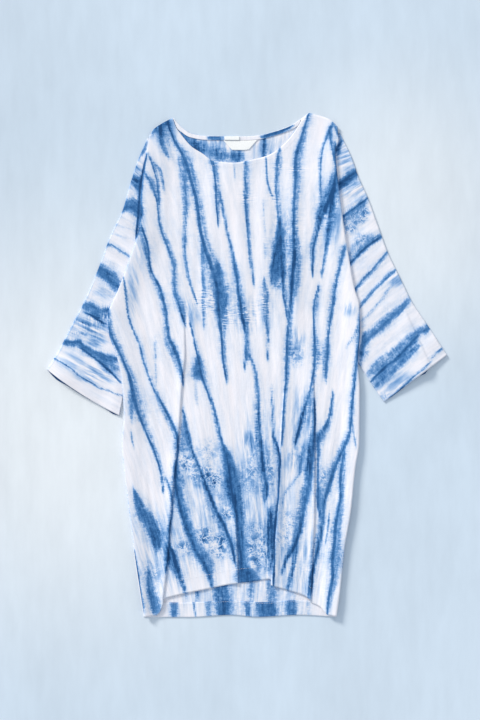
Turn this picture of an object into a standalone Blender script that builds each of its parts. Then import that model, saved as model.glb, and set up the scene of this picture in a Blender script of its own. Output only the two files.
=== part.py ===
# Tunic dress laid flat: cocoon body, dropped shoulders, folded three-quarter sleeves.
# Lengths are in millimetres until a mesh is made. x runs to the right as seen from above, y
# from the hem to the neck, z up from the surface it lies on. Left and right are as seen.
import math
from collections import namedtuple

import bpy
import numpy as np

for thing in list(bpy.data.objects):
    bpy.data.objects.remove(thing, do_unlink=True)

# Driving sizes
MM = 0.001
WALL = 1.2            # cloth of the front, back and sleeves
TRIM_WALL = 1.0       # facing, label and tab
GAP = 0.3             # where one piece lies on another
SEAM_GAP = 0.5        # between the back's armhole edge and the sleeve beside it
ROLL = 2.4            # rolled side edge, radius at the middle of the wall
ROLL_TOP = 1.0        # the same at the shoulder
ROLL_GROWS = 70       # the roll reaches its full radius this far below the shoulder
RETURN_LEAST = 4      # cloth that turns back under the roll where no sleeve is sewn to it
HEM_TURN = 28         # depth of the back's turned-up hem
FACING_DEPTH = 8
LABEL_TOP = 68
LABEL_BOTTOM = 34
LABEL_DEPTH = 19
LABEL_CENTRE = -14
TAB_SIZE = (30, 7)
TAB_CENTRE = -31
FACING_LEAST = 1.5    # its depth at its ends
FACING_CLEAR = 1.6    # from the front's neckline
TRIM_INSET = 0.5      # the facing's upper edge inside the back's
TAB_INSET = 0.8
FACING_START = 10     # how far its ends stay from the neck's corners, where the front covers it
FACING_END = 17
FRONT_ROWS = 30
ARMHOLE_ROWS = 26     # rows of the back beside the sleeves
ARMHOLE_SHARE = 0.6   # the part of its length that they take
LOWER_ROWS = 8
SLEEVE_ROWS = 17
ROLL_STEPS = 5        # faces round the rolled edge
FOLD_STEPS = 5        # faces round the sleeve's outer fold
HEM_STEPS = 3         # faces round the back's turned-up hem
SETTLE_STEPS = 12     # halvings that find where a column meets an edge

# Heights of the middle of the wall
BACK_Z = WALL / 2
REST_Z = BACK_Z + WALL + GAP
OVER_HEM_Z = REST_Z + WALL + GAP
SLEEVE_TOP_Z = 2.8
TRIM_Z = BACK_Z + WALL / 2 + GAP + TRIM_WALL / 2
SLEEVE_NARROW = 20        # a sleeve section shorter than this, at the shoulder, has no creases
UNDERARM_AT = 0.73        # share of the sleeve's length where its own seam begins
HEM_RISE_START = -430     # below this y the front rises to lie on the back's turned-up hem
HEM_RISE_LENGTH = 42


def table(columns, rows):
    """A table whose rows can be read by the names of its columns."""
    Row = namedtuple("Row", columns)
    return [Row(*row) for row in rows]


# Sides of the body, from shoulder to hem. seat: height of the cloth that turns back under the
# roll. swell: width of the raised edge.
SIDE_LEFT = table("y edge seat swell", [
    (459, -196, 3.8, 60),
    (435, -200, 4.4, 60),
    (409, -205, 4.4, 60),
    (349, -212, 4.4, 60),
    (273, -217, 4.4, 60),
    (211, -236, 4.4, 60),
    (153, -257, 4.4, 62),
    (107, -277, 4.4, 70),
    (91, -281, 4.4, 72),
    (57, -276, 4.4, 70),
    (19, -262, 4.4, 60),
    (-29, -252, 4.4, 56),
    (-106, -247, 4.4, 52),
    (-157, -251, 2.3, 50),
    (-219, -246, 2.3, 50),
    (-307, -235, 2.3, 44),
    (-397, -223, 2.3, 30),
    (-467, -212, 3.7, 22),
    (-504, -206, 3.7, 20),
])
SIDE_RIGHT = table("y edge seat swell", [
    (473, 180, 3.8, 50),
    (449, 182, 4.4, 50),
    (427, 176, 4.4, 50),
    (357, 182, 4.4, 54),
    (273, 193, 4.4, 54),
    (223, 201, 4.4, 54),
    (147, 215, 4.4, 54),
    (121, 223, 4.4, 54),
    (67, 225, 4.4, 54),
    (27, 222, 4.4, 50),
    (1, 221, 4.4, 48),
    (-49, 224, 3.2, 46),
    (-155, 223, 2.3, 44),
    (-209, 215, 2.3, 44),
    (-289, 207, 2.3, 44),
    (-367, 194, 2.3, 44),
    (-443, 186, 3.4, 42),
    (-503, 178, 3.7, 40),
])

# Armhole and side seams, as y and x: the back's edge, hidden under the rolled sides
SEAM_LEFT = [
    (459, -192.4), (349, -198), (273, -203), (211, -216), (153, -231), (93, -243.5),
    (29, -247), (-106, -246.5), (-157, -250), (-219, -245.5), (-307, -234.5), (-397, -224),
    (-467, -213.4), (-504, -207.4),
]
SEAM_RIGHT = [
    (473, 178.5), (427, 171), (357, 171.5), (273, 179), (223, 186.5), (147, 197.5),
    (67, 206), (1, 209), (-49, 216), (-155, 222), (-209, 214), (-289, 206), (-367, 193),
    (-443, 185), (-503, 177),
]

# Upper edges, as x and y. The shoulders are shared by the front and the back.
SHOULDER_LEFT = [(-197, 456), (-194, 459), (-188, 469), (-178, 477), (-163, 486), (-149, 493)]
SHOULDER_RIGHT = [(123, 503), (151, 495), (165, 489), (173, 482), (180, 474), (187, 459)]
NECK_FRONT = [
    (-149, 491), (-143, 475), (-129, 455), (-111, 435), (-89, 421), (-69, 407), (-55, 405),
    (-27, 403.5), (15, 411), (35, 416), (57, 427), (79, 447), (95, 467), (109, 489), (123, 503),
]
NECK_BACK = [
    (-149, 493), (-132, 475), (-111, 461.5), (-83, 457), (-3, 456), (23, 458), (51, 465),
    (83, 476), (104, 489), (123, 503),
]

# Lower edges, as x and y. The front's steps down where its large pleat overlaps.
HEM_FRONT = [
    (-207, -504), (-185, -502), (-179, -497), (-169, -471), (-151, -464), (-121, -457),
    (-77, -448), (-33, -439), (19, -433), (36, -424), (41, -423), (48, -437), (74, -449),
    (111, -461), (130, -476), (145, -484), (161, -500), (181, -503),
]
HEM_BACK = [(-210, -504), (-120, -504.5), (-33, -500), (20, -504), (100, -500), (180, -504)]

# Lines that the long folds follow down the front, as y and x
FOLD_LINES = {
    "a": [(493, -149), (329, -133), (119, -124), (27, -124), (-31, -130), (-131, -137),
          (-227, -147), (-311, -154), (-395, -160), (-465, -168)],
    "d": [(409, -66), (129, -47), (-111, -33), (-261, -23), (-341, -20), (-435, -17)],
    "b": [(415, 33), (229, 49), (-31, 71), (-155, 64), (-245, 61), (-329, 57), (-437, 47)],
    "c": [(503, 123), (229, 129), (-31, 134), (-209, 135), (-291, 135), (-405, 130), (-463, 128)],
}
# facing: the side that the lip leans to, 1 right and -1 left
FOLDS = {
    "a": {"facing": 1, "starts": 170, "full": 20, "height": 5.6, "lean": 0.9},
    "d": {"facing": 1, "starts": -210, "full": -350, "height": 4.2, "lean": 0.55},
    "b": {"facing": -1, "starts": 20, "full": -180, "height": 6.2, "lean": 1.0},
    "c": {"facing": 1, "starts": 60, "full": -110, "height": 4.8, "lean": 0.7},
}
# Section of a full fold that leans right. flat: where the cloth lies where the fold is not yet
# raised. across: where it lies in the fold, from the lip. up: share of the fold's height.
FOLD_SECTION = table("flat across up", [
    (-28.0, -28.0, 0.0),
    (-18.0, -16.0, 0.2),
    (-10.0, -7.0, 0.74),
    (-6.0, -2.2, 1.0),
    (-3.8, 0.0, 0.74),
    (-1.9, -1.4, 0.44),
    (0.0, -3.2, 0.2),
    (1.5, -1.8, 0.01),
    (7.2, 5.0, 0.0),
    (18.0, 18.0, 0.0),
])
# Soft rises of the front, as a line from top to bottom
FRONT_SWELLS = table("x_top y_top x_bottom y_bottom half_width height", [
    (-70, 400, -80, 120, 24, 2.0),
    (-18, 396, 0, 90, 22, 1.8),
    (32, 405, 30, -140, 24, 2.4),
    (92, 440, 98, 60, 20, 2.0),
    (166, 160, 176, -110, 22, 2.2),
    (-96, -60, -92, -440, 26, 1.8),
    (6, -120, 10, -430, 20, 1.8),
    (96, -200, 88, -455, 18, 1.6),
    (156, -240, 158, -480, 14, 2.0),
])

# Sleeve sections from shoulder to cuff: the outer fold's and the inner edge's places.
# spread: height of the upper layer's middle at the outer fold.
SLEEVE_LEFT = table("outer_x outer_y inner_x inner_y spread", [
    (-199.5, 453, -193.5, 448.5, 2.3),
    (-217, 413, -195, 399, 2.8),
    (-232, 369, -198, 339, 2.9),
    (-251, 305, -203, 273, 3.0),
    (-274, 257, -215, 215, 3.0),
    (-297, 195, -232, 159, 3.1),
    (-324, 131, -244, 93, 3.2),
    (-353, 75, -247, 29, 3.3),
    (-378, 27, -247, -41, 3.5),
    (-401, -9, -256, -102, 3.8),
])
SLEEVE_RIGHT = table("outer_x outer_y inner_x inner_y spread", [
    (184, 464, 178, 452, 2.3),
    (208, 414, 169, 399, 2.8),
    (221, 377, 170, 349, 2.9),
    (240, 334, 178, 293, 3.0),
    (261, 277, 186, 229, 3.0),
    (280, 225, 195, 163, 3.1),
    (305, 173, 202, 99, 3.2),
    (329, 125, 206, 39, 3.3),
    (361, 77, 238, -23, 3.5),
    (399, 19, 273, -75, 3.8),
])
# Soft creases of the sleeves. along: share of the sleeve's length. across: share of its width,
# from the inner edge.
SLEEVE_CREASES = {
    "left": table("along across half_long half_wide height", [
        (0.30, 0.80, 0.06, 0.35, 0.9),
        (0.52, 0.78, 0.05, 0.30, 1.1),
        (0.74, 0.70, 0.06, 0.35, 1.0),
        (0.90, 0.62, 0.06, 0.30, 0.9),
    ]),
    "right": table("along across half_long half_wide height", [
        (0.28, 0.80, 0.05, 0.35, 1.0),
        (0.47, 0.78, 0.05, 0.32, 1.2),
        (0.66, 0.76, 0.05, 0.32, 1.0),
        (0.98, 0.66, 0.16, 0.10, 2.2),
    ]),
}
# How far the sleeve's lower layer shows past the upper one at the cuff
CUFF_MOUTHS = {
    "left": table("across half_wide shows", [(0.82, 0.24, 5.0), (0.08, 0.09, 3.5)]),
    "right": table("across half_wide shows", [(0.58, 0.10, 7.0), (0.90, 0.12, 2.0)]),
}
# How far the cuff's line bows out at its middle
CUFF_BOW = {"left": 4.5, "right": 3.5}

DYED_WHITE = (0.83, 0.86, 0.93)
DYED_BLUE = (0.16, 0.32, 0.62)
PLAIN_WHITE = (0.88, 0.88, 0.87)

# Shares of the way across, where the columns of each sheet lie
FRONT_SPACING = [
    (0, 0.09, 0.2, 0.34, 0.52, 0.75),
    (0.33, 0.67),
    (0.33, 0.67),
    (0.5,),
    (0.2, 0.42, 0.64, 0.84, 1),
]
BACK_SPACING = [(0, 0.4), (0, 0.05, 0.12, 0.25, 0.38, 0.5, 0.62, 0.75, 0.88, 0.94), (0, 0.5, 1)]
LOWER_LAYER_SPACING = (0, 0.35, 0.7, 1)
UPPER_LAYER_SPACING = (1, 0.92, 0.84, 0.74, 0.64, 0.54, 0.42, 0.3, 0.16, 0.06, 0)


# Curves and small rules

def curve(points):
    """A smooth line through pairs of numbers that never swings past them."""
    ordered = sorted(points)
    keys = np.array([float(point[0]) for point in ordered])
    values = np.array([float(point[1]) for point in ordered])
    steps = np.diff(keys)
    slopes = np.diff(values) / steps
    tangents = np.zeros(len(keys))
    tangents[0] = slopes[0]
    tangents[-1] = slopes[-1]
    for i in range(1, len(keys) - 1):
        before, after = slopes[i - 1], slopes[i]
        if before * after > 0:
            tangents[i] = 2 * before * after / (before + after)

    def at(key):
        key = np.clip(key, keys[0], keys[-1])
        i = np.clip(np.searchsorted(keys, key) - 1, 0, len(steps) - 1)
        t = (key - keys[i]) / steps[i]
        rise = values[i] * (1 + 2 * t) * (1 - t) ** 2 + values[i + 1] * (3 - 2 * t) * t ** 2
        return rise + steps[i] * t * (1 - t) * (tangents[i] * (1 - t) - tangents[i + 1] * t)

    return at


def ease(value):
    """0 below 0, 1 above 1, and soft between."""
    value = np.clip(value, 0.0, 1.0)
    return value * value * (3 - 2 * value)


def hump(distance):
    """1 at 0, soft down to 0 at a distance of 1."""
    return 1 - ease(np.abs(distance))


class Side:
    """One side of the body: its outline, seam, and rolled edge at a height y."""

    def __init__(self, rows, seam, inward):
        self.inward = inward
        self.top = rows[0].y
        self.seam = curve(seam)
        self.edge = curve([(row.y, row.edge) for row in rows])
        self.seat = curve([(row.y, row.seat) for row in rows])
        self.swell = curve([(row.y, row.swell) for row in rows])

    def roll(self, y):
        return ROLL_TOP + (ROLL - ROLL_TOP) * ease((self.top - y) / ROLL_GROWS)

    def inset(self, y):
        return self.inward * (self.seam(y) - self.edge(y))

    def bend(self, y):
        """Where the roll runs out into the front's upper layer."""
        return self.edge(y) + self.inward * (WALL / 2 + self.roll(y))

    def raised(self, x, y):
        """How far the swollen edge lifts the front above its rest height."""
        inside = self.inward * (x - self.bend(y)) / self.swell(y)
        return (self.seat(y) + 2 * self.roll(y) - REST_Z) * (1 - ease(inside))


LEFT = Side(SIDE_LEFT, SEAM_LEFT, 1)
RIGHT = Side(SIDE_RIGHT, SEAM_RIGHT, -1)
FOLD_AT = {name: curve(rows) for name, rows in FOLD_LINES.items()}


def upper_edge(neck):
    shoulder_left = curve(SHOULDER_LEFT)
    shoulder_right = curve(SHOULDER_RIGHT)
    neckline = curve(neck)
    left_end, right_end = neck[0][0], neck[-1][0]

    def at(x):
        if x < left_end:
            return float(shoulder_left(x))
        if x > right_end:
            return float(shoulder_right(x))
        return float(neckline(x))

    return at


def where_meets(edge, column, start):
    """The y where a column line meets an upper or lower edge."""
    y = start
    for _ in range(SETTLE_STEPS):
        y = 0.5 * y + 0.5 * edge(column(y))
    return y


# Columns of the front: between its guide lines, and the section of each fold

def fold_section(name):
    """The fold's rows from left to right: flat place, place in the fold, and rise."""
    facing = FOLDS[name]["facing"]
    rows = FOLD_SECTION[::facing]
    return [(facing * row.flat, facing * row.across, row.up) for row in rows]


def front_columns():
    """The front's columns from left to right: flat x as a function of y, fold, lean and rise."""
    lines = [LEFT.bend] + [FOLD_AT[name] for name in FOLDS] + [RIGHT.bend]
    sections = [fold_section(name) for name in FOLDS]
    starts = [0.0] + [rows[-1][0] for rows in sections]
    stops = [rows[0][0] for rows in sections] + [0.0]
    columns = []
    for part, shares in enumerate(FRONT_SPACING):
        for share in shares:
            def between(y, part=part, share=share):
                left = lines[part](y) + starts[part]
                right = lines[part + 1](y) + stops[part]
                return left + share * (right - left)
            columns.append((between, None, 0.0, 0.0))
        if part < len(sections):
            for flat, across, up in sections[part]:
                def on_fold(y, line=lines[part + 1], flat=flat):
                    return line(y) + flat
                columns.append((on_fold, list(FOLDS)[part], across - flat, up))
    return columns


def front_height(x, y):
    """Middle of the front's wall at a flat place, without its folds."""
    over_hem = ease((HEM_RISE_START - y) / HEM_RISE_LENGTH)
    height = REST_Z + (OVER_HEM_Z - REST_Z) * over_hem
    height = height + LEFT.raised(x, y) + RIGHT.raised(x, y)
    for swell in FRONT_SWELLS:
        share = (swell.y_top - y) / (swell.y_top - swell.y_bottom)
        line = swell.x_top + (swell.x_bottom - swell.x_top) * share
        fade = ease(share * 4) * ease((1.12 - share) * 4)
        height = height + swell.height * fade * hump((x - line) / swell.half_width)
    return height


def roll_under(side, y, z_bend):
    """The rolled edge and the cloth that turns back under it, from its end to the bend."""
    radius = side.roll(y)
    middle = z_bend - radius
    start = side.bend(y)
    length = max(side.inset(y) - WALL / 2 - radius, RETURN_LEAST)
    seat = middle - radius
    points = [(start + side.inward * length, seat), (start + side.inward * length / 2, seat)]
    for turn in range(ROLL_STEPS):
        angle = math.pi * turn / ROLL_STEPS
        points.append((start - side.inward * radius * math.sin(angle),
                       middle - radius * math.cos(angle)))
    return points


def front_grid():
    top_edge = upper_edge(NECK_FRONT)
    hem = curve(HEM_FRONT)
    columns = front_columns()
    tops = [where_meets(top_edge, column[0], NECK_FRONT[0][1]) for column in columns]
    bottoms = [where_meets(hem, column[0], HEM_FRONT[0][1]) for column in columns]
    grid = []
    for row in range(FRONT_ROWS + 1):
        share = row / FRONT_ROWS
        line = []
        for (column, fold, lean, up), top, bottom in zip(columns, tops, bottoms):
            y = top + share * (bottom - top)
            x = column(y)
            z = front_height(x, y)
            if fold:
                rule = FOLDS[fold]
                grown = ease((rule["starts"] - y) / (rule["starts"] - rule["full"]))
                x = x + lean * rule["lean"] * grown
                z = z + up * rule["height"] * grown
            line.append((x, y, z))
        left_y, right_y = line[0][1], line[-1][1]
        left = [(x, left_y, z) for x, z in roll_under(LEFT, left_y, line[0][2])]
        right = [(x, right_y, z) for x, z in roll_under(RIGHT, right_y, line[-1][2])]
        grid.append(left + line + right[::-1])
    return grid


def back_columns():
    lines = [LEFT.seam, lambda y: NECK_BACK[0][0], lambda y: NECK_BACK[-1][0], RIGHT.seam]
    columns = []
    for part, shares in enumerate(BACK_SPACING):
        for share in shares:
            def between(y, part=part, share=share):
                return lines[part](y) + share * (lines[part + 1](y) - lines[part](y))
            columns.append(between)
    return columns


def back_grid():
    """The back from shoulders to hem, then its hem folded up over itself."""
    top_edge = upper_edge(NECK_BACK)
    hem = curve(HEM_BACK)
    turn = (WALL + GAP) / 2
    columns = back_columns()
    tops = [where_meets(top_edge, column, NECK_BACK[0][1]) for column in columns]
    bottoms = [where_meets(hem, column, HEM_BACK[0][1]) + turn for column in columns]
    shares = [ARMHOLE_SHARE * row / ARMHOLE_ROWS for row in range(ARMHOLE_ROWS)]
    shares += [ARMHOLE_SHARE + (1 - ARMHOLE_SHARE) * row / LOWER_ROWS
               for row in range(LOWER_ROWS + 1)]
    grid = []
    for share in shares:
        ys = [top + share * (bottom - top) for top, bottom in zip(tops, bottoms)]
        grid.append([(column(y), y, BACK_Z) for column, y in zip(columns, ys)])
    last = grid[-1]
    for step in range(1, HEM_STEPS + 1):
        angle = math.pi * step / HEM_STEPS
        grid.append([(x, y - turn * math.sin(angle), z + turn * (1 - math.cos(angle)))
                     for x, y, z in last])
    for up in (0.5, 1):
        grid.append([(x, y + up * HEM_TURN, z + 2 * turn) for x, y, z in last])
    return grid


def sleeve_height(along, share, spread, length, name):
    """Middle of the sleeve's upper layer, at a share of its width from the inner edge."""
    level = SLEEVE_TOP_Z if length > SLEEVE_NARROW else spread
    sewn = ease((along - UNDERARM_AT) / 0.08)
    near = level + (REST_Z - level) * sewn
    z = near + (level - near) * ease(share / 0.12)
    z = z + (spread - level) * ease((share - 0.45) / 0.4)
    for crease in SLEEVE_CREASES[name]:
        reach = hump((along - crease.along) / crease.half_long)
        reach = reach * hump((share - crease.across) / crease.half_wide)
        z = z + crease.height * reach * ease((length - SLEEVE_NARROW) / 40)
    return z


def sleeve_section(along, length, spread, name):
    """One section as distance from the inner edge, distance past the cuff, and height."""
    radius = (spread - BACK_Z) / 2
    run = length - WALL / 2 - radius
    section = []
    for share in LOWER_LAYER_SPACING:
        past = sum(mouth.shows * hump((share - mouth.across) / mouth.half_wide)
                   for mouth in CUFF_MOUTHS[name])
        section.append((share * run, past * ease((along - 0.9) / 0.1), BACK_Z))
    for turn in range(1, FOLD_STEPS):
        angle = math.pi * turn / FOLD_STEPS
        section.append((run + radius * math.sin(angle), 0.0,
                        BACK_Z + radius * (1 - math.cos(angle))))
    for share in UPPER_LAYER_SPACING:
        section.append((share * run, 0.0, sleeve_height(along, share, spread, length, name)))
    return section


def sleeve_grid(rows, name, side):
    """Lower layer from the inner edge, the outer fold, and the upper layer back again."""
    lines = {}
    for column in rows[0]._fields:
        lines[column] = curve(list(enumerate(getattr(row, column) for row in rows)))
    grid = []
    for row in range(SLEEVE_ROWS + 1):
        along = row / SLEEVE_ROWS
        place = {column: float(line(along * (len(rows) - 1))) for column, line in lines.items()}
        clear = side.seam(place["inner_y"]) - side.inward * SEAM_GAP
        inner_x = side.inward * min(side.inward * place["inner_x"], side.inward * clear)
        inner = np.array([inner_x, place["inner_y"]])
        reach = np.array([place["outer_x"], place["outer_y"]]) - inner
        length = float(np.hypot(*reach))
        outward = reach / length
        cuffward = np.array([outward[1], -outward[0]]) * side.inward
        bow = CUFF_BOW[name] * ease((along - 0.8) / 0.2)
        line = []
        for across, past, z in sleeve_section(along, length, place["spread"], name):
            share = across / length
            at = inner + outward * across + cuffward * (past + bow * 4 * share * (1 - share))
            line.append((at[0], at[1], z))
        grid.append(line)
    return grid


def facing_lower(x):
    """Lower edge of the back neck's facing, kept clear of the front's neckline."""
    back, front = curve(NECK_BACK), curve(NECK_FRONT)
    slope = float(back(x + 1) - back(x - 1)) / 2
    depth = FACING_DEPTH * math.hypot(1, slope)
    room = float(back(x) - front(x)) - FACING_CLEAR
    return float(back(x)) - max(min(depth, room), FACING_LEAST)


def strip(xs, upper, lower, z):
    """A flat piece between two lines over a run of x."""
    return [[(x, upper(x), z) for x in xs], [(x, lower(x), z) for x in xs]]


# Making the solids

def cloth(name, grid, wall, colour, roughness):
    """One piece: its middle sheet as faces, thickened evenly to both sides."""
    rows, count = len(grid), len(grid[0])
    points = [tuple(float(value) * MM for value in point) for line in grid for point in line]
    faces = []
    for row in range(rows - 1):
        for column in range(count - 1):
            first = row * count + column
            faces.append((first, first + count, first + count + 1, first + 1))
    mesh = bpy.data.meshes.new(name)
    mesh.from_pydata(points, [], faces)
    mesh.shade_smooth()
    piece = bpy.data.objects.new(name, mesh)
    bpy.context.scene.collection.objects.link(piece)
    thicken = piece.modifiers.new("wall", "SOLIDIFY")
    thicken.thickness = wall * MM
    thicken.offset = 0.0
    material = bpy.data.materials.new(name + "_cloth")
    material.use_nodes = True
    finish = material.node_tree.nodes["Principled BSDF"]
    finish.inputs["Base Color"].default_value = (*colour, 1.0)
    finish.inputs["Roughness"].default_value = roughness
    finish.inputs["Metallic"].default_value = 0.0
    mesh.materials.append(material)
    return piece


def make_facing(z):
    neck = curve(NECK_BACK)
    run = np.linspace(NECK_BACK[0][0] + FACING_START, NECK_BACK[-1][0] - FACING_END, 25)
    sheet = strip(run, lambda x: float(neck(x)) - TRIM_INSET, facing_lower, z)
    cloth("neck_facing_back", sheet, TRIM_WALL, PLAIN_WHITE, 0.9)


def make_label(z):
    """A blank tape label, narrower at its foot, that hangs from the facing's lower edge."""
    sheet = []
    for share in (0, 0.5, 1):
        width = LABEL_TOP + (LABEL_BOTTOM - LABEL_TOP) * share
        line = []
        for across in (-0.5, -0.25, 0, 0.25, 0.5):
            upper = facing_lower(LABEL_CENTRE + across * LABEL_TOP) - SEAM_GAP
            line.append((LABEL_CENTRE + across * width, upper - share * LABEL_DEPTH, z))
        sheet.append(line)
    cloth("label", sheet, TRIM_WALL, PLAIN_WHITE, 0.6)


def make_tab(z):
    """A small blank tab that lies on the facing."""
    neck = curve(NECK_BACK)
    width, depth = TAB_SIZE
    run = [TAB_CENTRE - width / 2, TAB_CENTRE, TAB_CENTRE + width / 2]
    sheet = strip(run, lambda x: float(neck(x)) - TAB_INSET,
                  lambda x: float(neck(x)) - TAB_INSET - depth, z)
    cloth("size_tab", sheet, TRIM_WALL, PLAIN_WHITE, 0.6)


def build_dress():
    cloth("back", back_grid(), WALL, DYED_BLUE, 0.9)
    cloth("front", front_grid(), WALL, DYED_WHITE, 0.9)
    cloth("sleeve_left", sleeve_grid(SLEEVE_LEFT, "left", LEFT), WALL, DYED_WHITE, 0.9)
    cloth("sleeve_right", sleeve_grid(SLEEVE_RIGHT, "right", RIGHT), WALL, DYED_WHITE, 0.9)
    make_facing(TRIM_Z)
    make_label(TRIM_Z)
    make_tab(TRIM_Z + TRIM_WALL + GAP)


build_dress()
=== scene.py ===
import math
from collections import namedtuple

import bpy
import bmesh
import numpy as np
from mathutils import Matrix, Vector


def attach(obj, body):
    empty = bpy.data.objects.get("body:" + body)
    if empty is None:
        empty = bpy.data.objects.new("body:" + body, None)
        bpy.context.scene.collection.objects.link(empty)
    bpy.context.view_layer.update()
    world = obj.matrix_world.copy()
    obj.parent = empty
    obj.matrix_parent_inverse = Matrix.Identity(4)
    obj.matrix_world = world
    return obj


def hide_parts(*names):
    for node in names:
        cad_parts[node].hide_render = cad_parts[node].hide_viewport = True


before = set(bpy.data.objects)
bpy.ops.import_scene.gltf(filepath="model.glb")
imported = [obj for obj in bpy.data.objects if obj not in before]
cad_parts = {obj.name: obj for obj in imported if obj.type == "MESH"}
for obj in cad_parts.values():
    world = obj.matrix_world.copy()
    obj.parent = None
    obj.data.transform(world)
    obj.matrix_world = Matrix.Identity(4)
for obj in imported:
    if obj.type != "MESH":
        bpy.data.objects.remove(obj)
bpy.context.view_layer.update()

print("stage: frame loaded,", len(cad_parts), "nodes")


# Small rules that every piece uses

def table(columns, rows):
    Row = namedtuple("Row", columns)
    return [Row(*row) for row in rows]


def patches(rows):  # centre, reach and strength of soft patches
    return table("x y wide high amount", rows)


def curve(points):  # smooth line through pairs of numbers, never swinging past them
    ordered = sorted(points)
    keys = np.array([float(point[0]) for point in ordered])
    values = np.array([float(point[1]) for point in ordered])
    steps = np.diff(keys)
    slopes = np.diff(values) / steps
    tangents = np.zeros(len(keys))
    tangents[0] = slopes[0]
    tangents[-1] = slopes[-1]
    for i in range(1, len(keys) - 1):
        before, after = slopes[i - 1], slopes[i]
        if before * after > 0:
            tangents[i] = 2 * before * after / (before + after)

    def at(key):
        key = np.clip(key, keys[0], keys[-1])
        i = np.clip(np.searchsorted(keys, key) - 1, 0, len(steps) - 1)
        t = (key - keys[i]) / steps[i]
        rise = values[i] * (1 + 2 * t) * (1 - t) ** 2 + values[i + 1] * (3 - 2 * t) * t ** 2
        return rise + steps[i] * t * (1 - t) * (tangents[i] * (1 - t) - tangents[i + 1] * t)

    return at


def ease(value):  # 0 below 0, 1 above 1, soft between
    value = np.clip(value, 0.0, 1.0)
    return value * value * (3 - 2 * value)


def hump(distance):  # 1 at 0, soft down to 0 at 1
    return 1 - ease(np.abs(distance))


cloudGrids = {}


def cloud(u, v, seed):  # soft uneven values from 0 to 1 over a plane
    if seed not in cloudGrids:
        cloudGrids[seed] = np.random.default_rng(seed).random((64, 64))
    grid = cloudGrids[seed]
    i, j = np.floor(u).astype(int), np.floor(v).astype(int)
    a, b = ease(u - i), ease(v - j)
    i, j = i % 64, j % 64
    k, m = (i + 1) % 64, (j + 1) % 64
    lower = grid[i, j] * (1 - a) + grid[k, j] * a
    upper = grid[i, m] * (1 - a) + grid[k, m] * a
    return lower * (1 - b) + upper * b


stepSize, middleStep = 2, (247.5, 364.5)


def stepX(x):
    return x / stepSize + middleStep[0]


def stepY(y):
    return middleStep[1] - y / stepSize


def newObject(name, data):
    thing = bpy.data.objects.new(name, data)
    bpy.context.scene.collection.objects.link(thing)
    return thing


# Small rules for materials and node trees

def feed(tree, value, socket):  # a value is a number, a colour or the output that feeds a socket
    if isinstance(value, bpy.types.NodeSocket):
        tree.links.new(value, socket)
    else:
        socket.default_value = value


def addNode(tree, kind, **values):
    node = tree.nodes.new(kind if "Node" in kind else "ShaderNode" + kind)
    for name, value in values.items():
        if name in node.inputs:
            feed(tree, value, node.inputs[name])
        else:
            setattr(node, name, value)
    return node


def calculate(tree, operation, *values, clamp=False):
    node = addNode(tree, "Math", operation=operation, use_clamp=clamp)
    for socket, value in zip(node.inputs, values):
        feed(tree, value, socket)
    return node.outputs[0]


def ranged(tree, value, low, high, toLow=0.0, toHigh=1.0, kind="LINEAR"):
    node = addNode(tree, "MapRange", interpolation_type=kind, Value=value)
    for name, number in (("From Min", low), ("From Max", high), ("To Min", toLow),
                         ("To Max", toHigh)):
        node.inputs[name].default_value = number
    return node.outputs[0]


grain = {"aside": 0.7, "rough": 0.6, "low": 0.3, "high": 0.7}


def stretched(tree, place, scale, detail, low, high, seed):  # noise along a direction
    mapping = addNode(tree, "Mapping", Scale=scale, Location=(seed, seed * grain["aside"], 0),
                      Vector=place)
    noise = addNode(tree, "TexNoise", Scale=1.0, Detail=detail, Roughness=grain["rough"],
                    Vector=mapping.outputs[0])
    return ranged(tree, noise.outputs["Fac"], grain["low"], grain["high"], low, high)


def mixColours(tree, share, first, second, blend="MIX"):
    node = addNode(tree, "Mix", data_type="RGBA", blend_type=blend)
    for place, value in ((0, share), (6, first), (7, second)):
        feed(tree, value, node.inputs[place])
    return node.outputs[2]


def newMaterial(name, roughness, sheen, specular):
    material = bpy.data.materials.new(name)
    material.use_nodes = True
    tree = material.node_tree
    surface = tree.nodes["Principled BSDF"].inputs
    surface["Roughness"].default_value = roughness
    surface["Sheen Weight"].default_value = sheen
    surface["Specular IOR Level"].default_value = specular
    return material, tree, surface, addNode(tree, "TexCoord").outputs["Object"]


# Camera, light and the surface it lies on

view = {"lens": 85.0, "sensor": 36.0, "up": 1.44, "centre": (-0.015, 0.009)}
light = {
    "sun": 3.2, "sunSize": 15.0, "sunHigh": 24.0, "sunFrom": 133.0,
    "sunColour": (1.0, 0.94, 0.85), "sky": (0.87, 0.962, 1.062), "skyPower": 0.69,
    "floor": (0.607, 0.698, 0.795), "pale": (0.79, 0.822, 0.856),
    "lightPools": [(-0.36, -0.12, 0.62, 1.0), (0.3, 0.3, 0.42, 0.75)],  # painted pools of light on the floor: x, y, reach, amount
    "lightPoolCore": 0.05, "floorReach": 3.0, "floorRoughness": 0.9, "floorSpecular": 0.1,
    # stretch, detail, lowest, highest and seed of each noise of the floor
    "floorNoises": [((3.2, 1.8, 1), 4.0, 0.95, 1.05, 4.0), ((38, 9, 1), 5.0, 0.968, 1.032, 9.0)],
}


def makeCamera():
    data = bpy.data.cameras.new("camera")
    data.lens = view["lens"]
    data.sensor_width = view["sensor"]
    camera = newObject("camera", data)
    distance = view["up"] * view["lens"] / view["sensor"]
    camera.location = (view["centre"][0], view["centre"][1], distance)
    bpy.context.scene.camera = camera


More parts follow.
